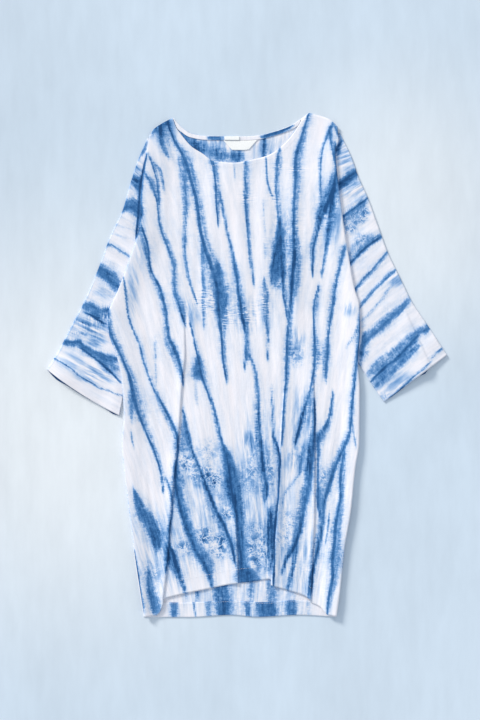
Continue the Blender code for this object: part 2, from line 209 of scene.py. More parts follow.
def makeLight():
    data = bpy.data.lights.new("window", "SUN")
    data.energy = light["sun"]
    data.angle = math.radians(light["sunSize"])
    data.color = light["sunColour"]
    sun = newObject("window", data)
    high, around = math.radians(light["sunHigh"]), math.radians(light["sunFrom"])
    towards = Vector((math.cos(high) * math.cos(around), math.cos(high) * math.sin(around),
                      math.sin(high)))
    sun.rotation_euler = towards.to_track_quat("Z", "Y").to_euler()
    world = bpy.data.worlds.new("room")
    bpy.context.scene.world = world
    world.use_nodes = True
    sky = world.node_tree.nodes["Background"]
    sky.inputs["Color"].default_value = (*light["sky"], 1)
    sky.inputs["Strength"].default_value = light["skyPower"]
    bpy.context.scene.view_settings.view_transform = "Standard"


def makeFloor():
    reach = light["floorReach"]
    mesh = bpy.data.meshes.new("floor")
    corners = [(-reach, -reach, 0), (reach, -reach, 0), (reach, reach, 0), (-reach, reach, 0)]
    mesh.from_pydata(corners, [], [(0, 1, 2, 3)])
    floor = newObject("floor", mesh)
    material, tree, surface, place = newMaterial("paleFloor", light["floorRoughness"], 0.0,
                                                 light["floorSpecular"])
    # painted pools of light: the floor is paler round these points
    pools = []
    for x, y, far, most in light["lightPools"]:
        away = addNode(tree, "VectorMath", operation="DISTANCE")
        feed(tree, place, away.inputs[0])
        feed(tree, (x, y, 0), away.inputs[1])
        pools.append(ranged(tree, away.outputs["Value"], far, light["lightPoolCore"], 0.0, most,
                            "SMOOTHSTEP"))
    base = mixColours(tree, calculate(tree, "MAXIMUM", *pools), (*light["floor"], 1),
                      (*light["pale"], 1))
    shade = calculate(tree, "MULTIPLY", *(stretched(tree, place, *noise)
                                          for noise in light["floorNoises"]))
    feed(tree, mixColours(tree, 1.0, base, shade, "MULTIPLY"), surface["Base Color"])
    mesh.materials.append(material)


makeCamera()
makeLight()
makeFloor()
print("stage: camera, light and floor")


# Dye and painted shade: each streak is a line down the cloth (or across a sleeve) with a soft
# halo and a darker line in it; a few rows are partly painted shadow of creases and folds.
# A row has the strengths of halo and line, then x, y and half width of each point.

bodyStreaks = [
    (0.75, 0.4, 166, 116, 5, 161.5, 128, 4, 162, 140, 3.4, 169, 158, 1.4),
    (0.55, 0.0, 157, 118, 4, 154, 126, 3.5, 152, 136, 2),
    (0.62, 0.75, 167, 118, 3, 171, 131, 2, 177.5, 144, 3.4, 186, 159, 5.5, 195.5, 191, 4.5,
     204, 238, 5, 212, 262, 6.5, 219, 290, 8.5, 221.5, 318, 5.5, 223, 345, 3.5, 227, 382, 1.5),
    (0.55, 0.35, 181, 158, 4, 185, 182, 4.4, 185, 220, 2.5, 184.5, 250, 2.2, 187, 268, 2,
     191, 286, 1.8, 197, 304, 1),
    (0.5, 0.12, 202.5, 244, 1.6, 203, 272, 2, 203.4, 300, 2.4, 204, 328, 1),
    (0.22, 0.2, 154.5, 338, 1.4, 155.5, 360, 1.6, 156.5, 384, 1),
    (0.62, 0.8, 190.5, 322, 0.8, 195.3, 342, 1.8, 198.4, 356, 2.6, 201.4, 370, 3.4, 205.5, 385, 2.8,
     211, 402, 2.2),
    (0.95, 0.0, 198.6, 354, 0.8, 198, 366, 4, 197.8, 379, 5),
    (0.3, 0.0, 195.5, 383, 2, 197, 406, 1.4),
    (0.55, 0.1, 132, 398, 2.4, 131.5, 410, 2, 131.5, 422, 1.2),
    (0.4, 0.4, 131.6, 432, 0.8, 133, 442, 0.8, 134.5, 447, 0.6),
    (0.5, 0.0, 184, 418, 2, 184, 436, 4.6, 184, 454, 6),
    (0.5, 0.5, 148.5, 155, 1.5, 154, 168, 2.2, 158.5, 186, 1.8, 160, 203, 1),
    (0.45, 0.25, 153, 163, 1.5, 161, 171, 2, 165, 192, 1),
    # next row: dark dye of the armhole crease, partly painted shadow in the crease
    (0.9, 1.0, 146.5, 156, 0.8, 142.5, 178, 1.2, 140.5, 205, 1.6, 138, 234, 0.9),
    (0.8, 0.3, 141.5, 203, 2, 141.5, 213, 2.6, 140.5, 222, 1),
    (0.6, 0.45, 145, 172, 2.5, 153, 187, 3.4, 158, 202, 1.5, 160, 224, 2.4, 169, 248, 3,
     175, 268, 3, 175.5, 290, 3, 180, 304, 4.6, 186, 326, 1.2),
    (0.65, 0.8, 141, 226, 2, 147, 248, 4, 150, 268, 3, 160, 291, 3.2, 166, 316, 3, 167, 333, 4,
     173, 350, 6, 180, 370, 4, 183, 385, 1),
    (0.4, 0.55, 124, 278, 1.5, 126, 296, 1.5, 130, 320, 1.2, 139, 343, 2.4, 148, 372, 2.4,
     158, 396, 2.6),
    (0.68, 0.8, 157, 394, 2.5, 168, 418, 3.6, 176, 438, 3.4, 177, 452, 2.4, 175, 470, 1.6),
    (0.62, 0.8, 108.5, 310, 2.5, 112, 332, 3.4, 123, 356, 3.6, 133, 382, 4.4, 137, 402, 7.4,
     145, 426, 3.6, 156, 453, 2.6, 162, 478, 1.6, 163, 494, 1),
    (0.5, 0.5, 165, 477, 1.2, 170, 491, 1.8, 172, 508, 2.2, 169, 530, 1.6, 167, 556, 2.4,
     165, 572, 1),
    (0.95, 0.1, 133.5, 487, 0.6, 138, 500, 4, 144, 514, 6.4, 152, 528, 8, 157.5, 541, 5.5,
     157, 552, 1.5),
    (0.62, 1.0, 182, 408, 1.2, 185, 425, 2.4, 191, 449, 2.8, 196, 462, 3, 202, 477, 3.4,
     208, 492, 3.8, 214, 510, 5, 221, 524, 6, 228, 539, 5, 232, 553, 3.6, 234.5, 564, 1.6),
    (0.95, 0.8, 176.5, 462, 2, 178, 484, 5.5, 182, 506, 5.2, 189, 530, 4.4, 198, 551, 7,
     207, 566, 7, 210, 577, 3.2, 213.5, 589, 1.6),
    (0.85, 0.75, 168.5, 546, 3, 173, 559, 6, 177, 571, 4.4, 183, 586, 1.8, 186, 595, 1),
    (0.9, 0.2, 148, 568, 1.2, 150, 584, 3.4, 154, 600, 5, 157, 614, 4),
    (0.5, 0.5, 219.5, 192, 1.5, 224, 218, 1.6, 231, 250, 1.8, 236, 278, 3),
    (0.68, 0.75, 234, 262, 1.5, 239, 290, 3.8, 243, 314, 5, 246.5, 334, 3.4, 247.5, 352, 3,
     245, 370, 1),
    (0.6, 0.55, 248, 352, 1.2, 254, 366, 1.8, 257.5, 390, 3, 258, 420, 3, 259.5, 446, 4.8,
     263, 474, 4.8, 265, 490, 5.8, 264, 502, 1.6),
    (0.6, 0.65, 213, 158, 5, 216, 178, 3.2, 217.5, 200, 2.6, 218.5, 226, 1),
    (0.35, 0.1, 234.4, 162, 1, 234.5, 180, 0.8),
    (0.62, 0.5, 246.3, 160, 3.2, 246.4, 184, 3.4, 245.6, 200, 3, 248, 228, 2.2, 250.5, 258, 1.6,
     253.5, 286, 1),
    (0.45, 0.3, 265.4, 157, 1.2, 267, 182, 1.4, 272, 198, 1.6),
    (0.3, 0.0, 263.5, 200, 1, 264, 228, 1.2, 266.5, 256, 1),
    (0.7, 0.0, 218, 262, 2, 219, 285, 5.5, 221, 300, 6, 221, 318, 2),
    (0.62, 0.55, 280, 146, 1.2, 278, 164, 3.6, 276.5, 184, 2.4, 277, 200, 3.2, 280, 226, 3,
     283, 262, 2.4, 284, 292, 2, 287, 318, 1),
    (1.0, 0.0, 279.5, 220, 1.5, 278, 238, 4, 277, 258, 5.4, 276, 276, 5.4, 275, 287, 2),
    (0.3, 0.6, 278.8, 238, 1, 275.5, 256, 1.2, 272.6, 272, 1.2, 271.5, 284, 0.8),
    (0.6, 0.5, 263.5, 278, 1.2, 266, 296, 3.4, 266.5, 314, 3, 267.8, 340, 1.4, 267.5, 360, 0.8),
    (0.68, 0.75, 310.5, 110, 2.4, 304, 132, 3.6, 298.5, 156, 5, 296, 184, 4, 295, 220, 3.2,
     295.5, 252, 5, 294, 280, 6, 291.5, 305, 3.6, 289, 330, 2.8, 288.5, 352, 5, 287, 374, 2.8,
     284.5, 402, 2, 281.5, 444, 1.3),
    (0.72, 0.8, 336.5, 168, 2, 332, 188, 6, 326, 202, 6, 318.5, 224, 3.4, 312.5, 252, 3,
     312.5, 276, 1),
    (0.62, 0.45, 337.5, 182, 3, 332, 208, 5, 329.5, 228, 3.2, 325, 258, 1.8, 321.5, 277, 1),
    (0.5, 0.4, 331.5, 124, 1.4, 324, 144, 2, 320.5, 164, 2, 320.5, 197, 1),
    (0.6, 0.4, 333.5, 123, 1, 330, 129, 2, 331, 140, 2, 333, 150, 2.4, 336, 166, 1.2),
    # next row: dark dye, partly painted fold shadow along the body's edge
    (0.8, 0.9, 334.5, 144, 1.2, 335.6, 154, 1.8, 337, 166, 1.6, 338.5, 184, 1),
    (0.7, 0.1, 334, 125, 1, 338, 134, 2.2, 341, 143, 2, 342, 150, 1),
    (0.35, 0.3, 357, 328, 1, 351, 339, 1, 346, 347, 0.8),
    (0.35, 0.2, 351, 418, 1, 354, 436, 1, 356, 448, 0.7),
    (0.62, 0.65, 343.5, 246, 4, 338, 272, 2.6, 332, 302, 3.2, 327.5, 334, 2.2, 326, 354, 4,
     325.5, 382, 1.6),
    (0.62, 0.7, 319, 284, 1.4, 315, 307, 3, 314, 322, 1.4, 316, 350, 4.4, 313, 380, 2.6,
     309, 398, 3.4, 303, 415, 2, 295.5, 447, 1.2),
    (0.8, 0.75, 314, 398, 1.2, 313.5, 416, 1.8, 312.5, 436, 3.2, 311, 452, 5, 309.5, 470, 5,
     307, 486, 5, 303, 506, 5.4, 299, 524, 5.4, 294, 544, 3.6, 286, 560, 1.8, 281, 574, 1),
    (0.25, 0.1, 310, 408, 1.6, 304, 422, 3, 297, 437, 3, 293, 446, 1.2),
    (0.3, 0.12, 304, 467, 1, 294, 481, 1.4, 284, 495, 1.2, 281, 506, 0.8),
    (0.72, 0.8, 333.5, 392, 1.3, 331, 412, 2, 326, 428, 3.6, 320, 437, 5, 318.5, 447, 2.2,
     318.5, 470, 1.2, 318.5, 500, 2.4, 320, 516, 1.6),
    (0.68, 0.85, 360.5, 308, 1.6, 358.5, 332, 2.4, 355, 370, 2.2, 352, 396, 2.6, 349.5, 427, 2,
     345, 442, 3.2, 338, 458, 3.4, 331, 474, 4.6, 326, 490, 4.8, 323, 506, 3.4, 321, 530, 4.2,
     317, 548, 4.4, 312.5, 570, 2.8, 311, 592, 1.4),
    (0.75, 0.7, 345, 450, 1.4, 342, 470, 3.2, 340.5, 500, 3.4, 337, 530, 5, 334.5, 556, 6.4,
     333, 580, 4.6, 329, 602, 2.6, 327.5, 614, 1.6),
    (0.6, 0.75, 211, 400, 2, 216, 420, 3, 223, 447, 2.6, 229, 470, 3, 232, 500, 3, 235, 514, 2),
    (0.98, 0.3, 224, 444, 1, 229, 460, 4.6, 233, 476, 8, 235.5, 494, 7, 238.5, 512, 4.4,
     241, 534, 5, 242, 556, 5.6, 244, 584, 7),
    (0.8, 0.1, 250, 566, 1, 251, 577, 8, 252, 586, 9),
    (0.4, 0.3, 272, 386, 1, 272.4, 410, 1.2, 273, 440, 1.2),
    (0.75, 1.0, 274, 438, 1, 277.6, 452, 2.6, 279, 462, 2, 278.6, 478, 1.2, 277.5, 500, 1.2,
     275.4, 520, 1.8, 274, 546, 1.8, 273, 586, 1.6),
    (0.7, 0.2, 270, 506, 3, 271, 524, 4.4, 269.5, 546, 3, 267, 572, 2.6),
    (0.6, 0.4, 296, 540, 2, 294.5, 560, 2.4, 290, 580, 3, 287, 592, 2),
    (0.6, 0.4, 313, 566, 1.2, 310.5, 582, 2.8, 308, 600, 2.4),
    (0.4, 0.1, 252, 520, 1.6, 255, 545, 2.4, 258, 570, 2),
    (0.6, 0.9, 134.6, 552, 0.9, 140, 584, 1.2, 144.5, 612, 2.2),
    (0.3, 0.3, 329.5, 512, 0.8, 328, 528, 0.8, 326, 542, 0.6),
]
leftSleeveStreaks = [
    # next row: dark dye of the armhole crease, partly painted shadow in the crease
    (0.85, 1.0, 146, 160, 0.8, 142.5, 176, 1.6, 140.5, 190, 2.2, 139.5, 210, 2, 137, 238, 0.8),
    (0.6, 0.2, 147, 142, 1.6, 144, 150, 2.6, 139, 158, 2.6),
]
leftSleeveBands = [
    (0.8, 0.2, 133, 180, 5, 139, 184, 7, 146, 188, 5),
    (0.95, 0.3, 119, 208, 4, 130, 206, 6.4, 140, 211, 6, 148, 214, 5),
    (0.2, 0.0, 114, 224, 1, 136, 231, 1),
    (0.2, 0.0, 110, 233, 1, 134, 240, 1),
    (0.6, 0.45, 105, 244, 2.4, 112, 246, 1.8, 120, 251, 1.6, 130, 257, 1.4),
    (1.0, 0.3, 94, 267, 5, 100, 270, 6, 108, 276, 6.4, 116, 283, 7, 122, 287, 6),
    (0.9, 0.4, 82, 306, 3.6, 90, 307, 5.6, 100, 313, 6.4, 112, 311, 4.6),
    (0.6, 0.8, 84, 311, 2, 93, 316, 2.6, 104, 323, 1.6),
    (0.45, 0.2, 77, 319.6, 1.2, 90, 327, 1.2),
    (0.35, 0.0, 70, 332, 1.6, 86, 335.5, 1.4, 100, 338, 1),
    (0.85, 0.6, 63, 342, 3, 78, 343.5, 4, 84, 347.6, 3.4, 92, 351.5, 3, 103, 355.6, 3.2,
     118, 360, 3.6),
    (0.6, 0.75, 80, 347, 2.4, 90, 353.5, 2.2, 98, 360, 1.8, 109, 369.6, 1.5, 121, 382, 1.2),
    (0.55, 0.0, 95, 354, 2, 104, 360, 4.6, 112, 364, 4.6, 120, 369, 3),
    (0.42, 0.35, 52, 357, 0.8, 70, 367.4, 0.9, 83, 377.8, 0.9, 96, 385.4, 0.9, 109, 391.2, 0.9,
     125, 395.6, 0.9),
]
rightSleeveBands = [
    (0.85, 0.6, 333, 153, 3, 337, 150, 3.4, 342, 142, 3),
    (0.5, 0.0, 330, 140, 5, 337, 136, 6, 344, 134, 4),
    (1.0, 0.95, 336, 187, 3, 346, 180, 3.6, 358, 172, 4.2),
    (0.7, 0.0, 336, 187, 3, 346, 179, 4.4, 358, 171, 5.4),
    (0.8, 1.0, 340, 219, 3, 350, 213, 3.4, 360, 206, 3.2, 369, 198, 3),
    (0.5, 0.0, 340, 228, 5, 350, 222, 7, 361, 213, 6, 367, 208, 2),
    (0.4, 0.1, 346, 258, 3, 354, 248, 4, 362, 240, 5, 372, 236, 3),
    (0.85, 0.95, 346, 266, 3, 357, 255, 3.4, 368, 244, 3.6, 382, 235, 3),
    (0.62, 0.5, 351, 295, 2.4, 362, 282, 2.6, 376, 266, 2.4, 390, 250, 2),
    (0.58, 0.3, 357, 310, 2.2, 370, 294, 2.2, 384, 280, 2.2, 398, 268, 2),
    (0.38, 0.0, 361, 321, 1.8, 377, 305, 1.6, 394, 282, 1.6),
    (0.8, 0.25, 361, 350, 3.6, 365, 340, 4, 370, 335, 4.4, 378, 329, 5, 386, 321, 5.6, 394, 314, 4,
     404, 305.4, 3.4, 411, 299, 5),
    (0.3, 0.5, 396, 318, 0.8, 406, 307, 0.8),
    (0.8, 0.0, 358, 364, 2, 362, 350, 4.4, 366, 342, 3),
    # next row: its dark line is painted crease shadow, its halo is dye
    (0.7, 1.0, 370, 383, 2.6, 386.4, 368, 3, 397.8, 358.5, 3, 407.4, 348, 3, 418.5, 336.4, 3),
    (0.6, 0.0, 366, 374, 4, 384, 361, 5.4, 398, 350, 6, 409, 341, 5.4, 417, 333, 4),
    (0.68, 0.0, 373, 388, 4, 388, 375, 4, 402, 361, 3.6, 413, 351, 3.6, 420, 345, 1),
    (0.8, 0.5, 418, 331.5, 4.4, 424, 329, 4.6, 432, 325, 4.6),
    (0.55, 0.3, 430, 358.4, 1.2, 437, 353, 1.2, 445, 347, 1.2),
    (0.55, 0.4, 385, 401.6, 2.2, 398, 391, 1.4, 413, 377, 1.2, 431, 361, 1),
]
backBlots = patches([  # the inside of the back, in the neck
    (187, 140, 14, 15, 0.62), (198, 149, 10, 11, 0.55), (222, 156, 12, 8, 0.6),
    (236, 157, 12, 9, 0.62), (216, 152, 9, 9, 0.4), (176, 128, 5, 5, 0.95),
])
backStreaks = [
    (0.7, 0.3, 264, 134, 2, 264.6, 160, 2.6),
    (0.35, 0.0, 186, 560, 1.6, 186, 600, 1.4),
    (0.6, 0.0, 196.5, 560, 2.4, 196.5, 603, 1.6),
    (0.75, 0.0, 222, 550, 8, 222.5, 605, 9),
    (0.5, 0.0, 251, 550, 4, 251.5, 604, 3),
    (0.62, 0.0, 272, 550, 6, 272, 604, 6),
    (0.25, 0.0, 291, 560, 5, 291, 604, 4),
]
turnUpStreaks = [
    (0.9, 0.2, 174, 596, 3.4, 174.4, 618, 3.4),
    (0.5, 0.3, 192.5, 596, 1.2, 194, 606, 1, 195.5, 618, 0.8),
    (0.5, 0.0, 208, 596, 3, 209, 618, 3),
    (0.95, 0.0, 222.5, 596, 7.4, 223.5, 618, 7),
    (0.5, 0.4, 226, 596, 4, 225, 618, 4),
    (0.8, 0.0, 247.4, 596, 3, 248.4, 618, 3),
    (0.95, 0.0, 264.6, 596, 10, 266.6, 618, 11),
    (0.4, 0.3, 272, 596, 4, 273, 618, 4),
    (0.85, 0.1, 291.4, 596, 6, 292.4, 618, 5),
    (0.3, 0.0, 307, 600, 2, 309, 618, 2),
]
facingBands = [
    (0.98, 0.6, 209, 139, 5, 224, 137, 5),
    (0.98, 0.8, 262, 136, 4, 276, 131, 5, 292, 125, 4),
]
# Marks of the binding thread, crackled patches and pale washes
bodyTicks = patches([
    (278, 168, 10, 5, 0.7), (298, 170, 14, 5, 0.8), (247, 198, 12, 6, 0.8), (274, 198, 10, 6, 0.7),
    (221, 200, 8, 6, 0.6), (326, 217, 12, 8, 0.7), (298, 222, 8, 14, 0.5), (288, 246, 12, 8, 0.6),
    (206, 303, 14, 16, 0.8), (230, 316, 14, 13, 1.0), (250, 314, 14, 14, 1.0),
    (262, 304, 10, 18, 0.8), (297, 350, 12, 16, 0.6), (318, 356, 9, 14, 0.6),
    (258, 420, 12, 20, 0.3), (303, 565, 12, 10, 0.5), (160, 196, 10, 12, 0.3),
])
bodyCrackle = patches([
    (188, 462, 13, 12, 0.95), (202, 474, 16, 12, 0.95), (215, 478, 13, 12, 0.9),
    (208, 452, 16, 16, 0.4), (229, 512, 9, 11, 0.95), (186, 546, 12, 10, 0.8),
    (203, 538, 12, 14, 0.95), (219, 545, 14, 16, 0.95), (214, 500, 14, 16, 0.3),
    (244, 482, 12, 20, 0.35), (252, 470, 9, 26, 0.5), (256, 548, 15, 28, 0.8),
    (270, 470, 6, 26, 0.7), (324, 478, 6, 14, 0.8), (152, 575, 16, 16, 0.4),
    (300, 455, 14, 14, 0.35), (286, 530, 14, 26, 0.45), (166, 142, 10, 14, 0.35),
    (276, 284, 7, 7, 0.8), (286, 232, 6, 30, 0.35), (297, 355, 9, 14, 0.5), (345, 560, 8, 20, 0.5),
    (134, 410, 6, 14, 0.5), (318, 352, 6, 14, 0.4),
])
bodyWash = patches([
    (213, 505, 34, 60, 0.14), (262, 500, 34, 100, 0.2), (302, 420, 13, 34, 0.3),
    (298, 462, 16, 14, 0.4), (296, 560, 30, 50, 0.16), (165, 550, 34, 50, 0.16),
    (162, 128, 18, 18, 0.3), (288, 260, 14, 50, 0.16), (330, 215, 20, 40, 0.2),
    (246, 315, 34, 24, 0.12), (133, 290, 8, 34, 0.2), (141, 240, 8, 40, 0.18),
    (298, 345, 10, 20, 0.25), (250, 442, 10, 14, 0.4), (306, 449, 8, 17, 0.34),
    (349, 309, 9, 9, 0.26), (268, 540, 8, 40, 0.5), (190, 310, 12, 20, 0.2),
    (208, 480, 26, 12, 0.4),
])
leftTicks = patches([(90, 326, 24, 11, 0.8), (104, 312, 12, 10, 0.6)])
leftWash = patches([
    (90, 326, 26, 13, 0.42), (98, 374, 24, 12, 0.34), (132, 172, 10, 20, 0.35),
    (97, 339, 12, 9, 0.38), (74, 362, 20, 11, 0.16), (104, 293, 12, 8, 0.22),
])
rightTicks = patches([(356, 214, 14, 10, 0.5)])
rightCrackle = patches([
    (359, 214, 12, 10, 0.95), (349, 226, 9, 11, 0.95), (362, 240, 8, 8, 0.8),
    (352, 254, 6, 10, 0.6), (364, 350, 7, 12, 0.6), (385, 397, 8, 6, 0.5),
])
rightWash = patches([
    (346, 156, 12, 14, 0.32), (354, 190, 16, 12, 0.3), (396, 278, 12, 10, 0.3),
    (400, 384, 24, 14, 0.2),
])
backWash = patches([
    (212, 148, 40, 20, 0.3), (280, 146, 40, 26, 0.2), (230, 590, 90, 26, 0.08),
])
brush = {  # how a streak is drawn
    "wobbles": [(1.4, 9, 26), (0.45, 3, 9)],  # amount, reach across and reach down
    "uneven": (0.82, 0.36, 6, 16),  # least, what is added, reach across and reach down
    "lineTakes": 0.2, "ends": 5, "nearby": 8, "flat": 0.6, "flatEdge": (1.3, 0.9),
    "halo": 0.26, "haloWide": (1.7, 1.6), "core": (0.26, 0.65, 1.4),  # share, least and most
    "coreEdge": 1.6, "coreAside": 0.3, "lineOver": 0.86, "patchReach": 1.25,
}


def streakField(sx, sy, streaks, down, seed):
    halo = np.ones_like(sx)
    line = np.zeros_like(sx)
    key, other = (sy, sx) if down else (sx, sy)
    for step, (amount, wide, high) in enumerate(brush["wobbles"]):
        other = other + amount * (cloud(sx / wide, sy / high, seed + step) - 0.5)
    least, more, wide, high = brush["uneven"]
    uneven = least + more * cloud(sx / wide, sy / high, seed + 2)
    ends = brush["ends"]
    side = 1
    for haloAmount, lineAmount, *points in streaks:
        side = -side
        haloAmount = haloAmount * (1 - brush["lineTakes"] * lineAmount)
        xs, ys, halves = points[::3], points[1::3], points[2::3]
        keys, others = (ys, xs) if down else (xs, ys)
        first, last = min(keys), max(keys)
        near = (key > first - brush["nearby"]) & (key < last + brush["nearby"])
        if not near.any():
            continue
        centre, half = curve(zip(keys, others)), curve(zip(keys, halves))
        k = key[near]
        slope = (centre(k + 1) - centre(k - 1)) / 2
        past = (other[near] - centre(k)) / np.hypot(1, slope)
        away = np.abs(past)
        wide = half(k) * uneven[near]
        fades = ease((k - first + ends) / (2 * ends)) * ease((last + ends - k) / (2 * ends))
        start, falls = brush["flatEdge"]
        halo[near] *= 1 - brush["flat"] * haloAmount * fades * ease(start - falls * away / wide)
        share, more = brush["haloWide"]
        halo[near] *= 1 - brush["halo"] * haloAmount * fades * np.exp(
            -(away / (share * wide + more)) ** 2)
        share, least, most = brush["core"]
        thin = np.clip(wide * share, least, most)
        aside = np.abs(past - side * brush["coreAside"] * wide)
        core = ease(brush["coreEdge"] - aside / thin)
        line[near] = np.maximum(line[near], lineAmount * fades * core)
    halo = 1 - halo
    return halo + brush["lineOver"] * line * (1 - halo)


def patchField(sx, sy, rows):
    amount = np.zeros_like(sx)
    for patch in rows:
        away = np.hypot((sx - patch.x) / patch.wide, (sy - patch.y) / patch.high)
        amount = np.maximum(amount, patch.amount * ease(brush["patchReach"] - away))
    return amount


def mixDyeAndShade(first, second):
    return 1 - (1 - first) * (1 - second)


# Cloth finishes

finish = {
    "crispFrom": 0.2, "crispTo": 0.62, "crispMost": 0.2, "softShare": 0.76,
    "stops": [
        (0.0, (0.912, 0.872, 0.912)), (0.1, (0.79, 0.80, 0.875)), (0.22, (0.565, 0.66, 0.825)),
        (0.36, (0.335, 0.49, 0.74)), (0.5, (0.175, 0.34, 0.615)), (0.66, (0.085, 0.235, 0.50)),
        (0.82, (0.03, 0.143, 0.365)), (1.0, (0.004, 0.062, 0.198)),
    ],
    "roughness": 0.88, "sheen": 0.2, "specular": 0.25, "weave": 0.35, "crumple": 0.3,
    "weaveDeep": 0.0002, "crumpleDeep": 0.0014,
    "halfTop": 1.1, "hairTicks": 0.85, "hairLeast": 0.3, "edgeGain": 3.0, "edgeTop": 1.05,
    "bareTop": 1.15, "hairShare": 0.55, "markShare": 0.16, "everywhere": 0.062,
    "bendScale": 70.0, "bendShare": 0.045, "veinScale": 62.0, "veinWide": 0.13, "veinLeast": 0.15,
}
# Grain of feathered edges: stretch, detail, most, seed, and whether it runs with the cloth
feathers = [
    ((300, 42, 1), 4.0, 0.34, 0.0, True), ((125, 125, 125), 5.0, 0.5, 3.0, False),
    ((420, 420, 420), 2.0, 0.3, 7.0, False),
]
noises = {  # stretch, detail, lowest, highest and seed
    "hairs": ((70, 400, 1), 3.0, -1, 1, 41.0), "runs": ((110, 15, 1), 4.0, -0.35, 1.9, 11.0),
    "across": ((75, 430, 1), 3.0, -1.1, 0.6, 17.0),
    "cells": ((68, 68, 68), 6.0, 0.05, 1.14, 23.0),
    # painted soft shade: one of these noises darkens and lightens the cloth in random bands along
    # the pleats
    "shadeBands": ((48, 5, 1), 4.0, 0.918, 1.045, 51.0), "crumple": ((75, 22, 1), 5.0, 0, 1, 37.0),
    "warp": ((1700, 160, 160), 2.0, 0, 1, 29.0), "weft": ((160, 1700, 160), 2.0, 0, 1, 31.0),
    "tapeShade": ((900, 300, 300), 3.0, 0.9, 1.0, 5.0),
    "tapeRibs": ((2200, 240, 240), 2.0, 0, 1, 13.0),
}
tape = {"sheen": 0.15, "specular": 0.5, "ribs": 0.3, "ribsDeep": 0.00015}


def attribute(tree, name, output="Fac"):
    return addNode(tree, "Attribute", attribute_name=name).outputs[output]


def makeDyedCloth(name):
    material, tree, surface, place = newMaterial(name, finish["roughness"], finish["sheen"],
                                                 finish["specular"])
    flow = attribute(tree, "flow", "Vector")
    dye, ticks, crackle, wash = [attribute(tree, field)
                                 for field in ("dye", "ticks", "crackle", "wash")]

    def plus(first, second):
        return calculate(tree, "ADD", first, second)

    def times(first, second, clamp=False):
        return calculate(tree, "MULTIPLY", first, second, clamp=clamp)

    def minus(first, second, clamp=False):
        return calculate(tree, "SUBTRACT", first, second, clamp=clamp)

    def noise(kind, where):
        return stretched(tree, where, *noises[kind])

    # Feathered edges: strongest where the dye is half way
    half = times(dye, minus(finish["halfTop"], dye))
    amount = dye
    for size, detail, most, seed, runs in feathers:
        feather = stretched(tree, flow if runs else place, size, detail, -most, most, seed)
        amount = plus(amount, times(feather, half))
    longer = calculate(tree, "MULTIPLY_ADD", ticks, finish["hairTicks"], finish["hairLeast"])
    edge = times(times(dye, finish["edgeGain"], True), minus(finish["edgeTop"], dye, True))
    longer = times(times(longer, edge), finish["hairShare"])
    amount = plus(amount, times(noise("hairs", flow), longer))
    crisp = ranged(tree, amount, finish["crispFrom"], finish["crispTo"], 0.0,
                   finish["crispMost"], "SMOOTHSTEP")
    amount = calculate(tree, "MULTIPLY_ADD", amount, finish["softShare"], crisp)

    # Pale washes that run with the pleats
    amount = plus(amount, times(plus(wash, finish["everywhere"]), noise("runs", flow)))

    # Binding marks: short ticks across the pleats
    amount = plus(amount, times(times(ticks, noise("across", flow)), finish["markShare"]))

    # Crackled patches: blue with white veins
    bent = addNode(tree, "TexNoise", Scale=finish["bendScale"], Detail=3.0, Vector=place)
    mixed = addNode(tree, "Mix", data_type="VECTOR")
    for index, value in ((0, finish["bendShare"]), (4, place), (5, bent.outputs["Color"])):
        feed(tree, value, mixed.inputs[index])
    veins = addNode(tree, "TexVoronoi", feature="DISTANCE_TO_EDGE", Scale=finish["veinScale"],
                    Vector=mixed.outputs[1])
    thin = ranged(tree, veins.outputs["Distance"], 0.0, finish["veinWide"], finish["veinLeast"])
    patchy = times(thin, noise("cells", place))
    bare = times(crackle, minus(finish["bareTop"], dye, True))
    amount = plus(amount, times(bare, minus(patchy, amount)))

    ramp = addNode(tree, "ValToRGB", Fac=amount)
    stops = ramp.color_ramp.elements
    while len(stops) < len(finish["stops"]):
        stops.new(0.5)
    for stop, (position, colour) in zip(stops, finish["stops"]):
        stop.position = position
        stop.color = (*colour, 1)
    # painted soft shade: the colour is darkened and lightened in random bands along the pleats
    shadeBanded = addNode(tree, "VectorMath", operation="SCALE", Scale=noise("shadeBands", flow))
    feed(tree, ramp.outputs["Color"], shadeBanded.inputs[0])
    feed(tree, shadeBanded.outputs[0], surface["Base Color"])

    # Plain weave of uneven threads, and the soft crumple of washed cotton
    threads = addNode(tree, "Bump", Strength=finish["weave"], Distance=finish["weaveDeep"],
                      Height=plus(noise("warp", place), noise("weft", place)))
    soft = addNode(tree, "Bump", Strength=finish["crumple"], Distance=finish["crumpleDeep"],
                   Height=noise("crumple", flow), Normal=threads.outputs[0])
    feed(tree, soft.outputs[0], surface["Normal"])
    return material


def makeTape(name, colour, roughness):
    material, tree, surface, place = newMaterial(name, roughness, tape["sheen"], tape["specular"])
    shade = stretched(tree, place, *noises["tapeShade"])
    feed(tree, mixColours(tree, 1.0, (*colour, 1), shade, "MULTIPLY"), surface["Base Color"])
    bump = addNode(tree, "Bump", Strength=tape["ribs"], Distance=tape["ribsDeep"],
                   Height=stretched(tree, place, *noises["tapeRibs"]))
    feed(tree, bump.outputs[0], surface["Normal"])
    return material


dyedCloth = makeDyedCloth("dyedCloth")
labelTape = makeTape("labelTape", (0.96, 0.96, 0.95), 0.55)
threadFinish = makeTape("sewingThread", (0.85, 0.87, 0.92), 0.7)
print("stage: finishes")


# A closed thin shell round a grid of points. The outer layer has every row, the inner half.

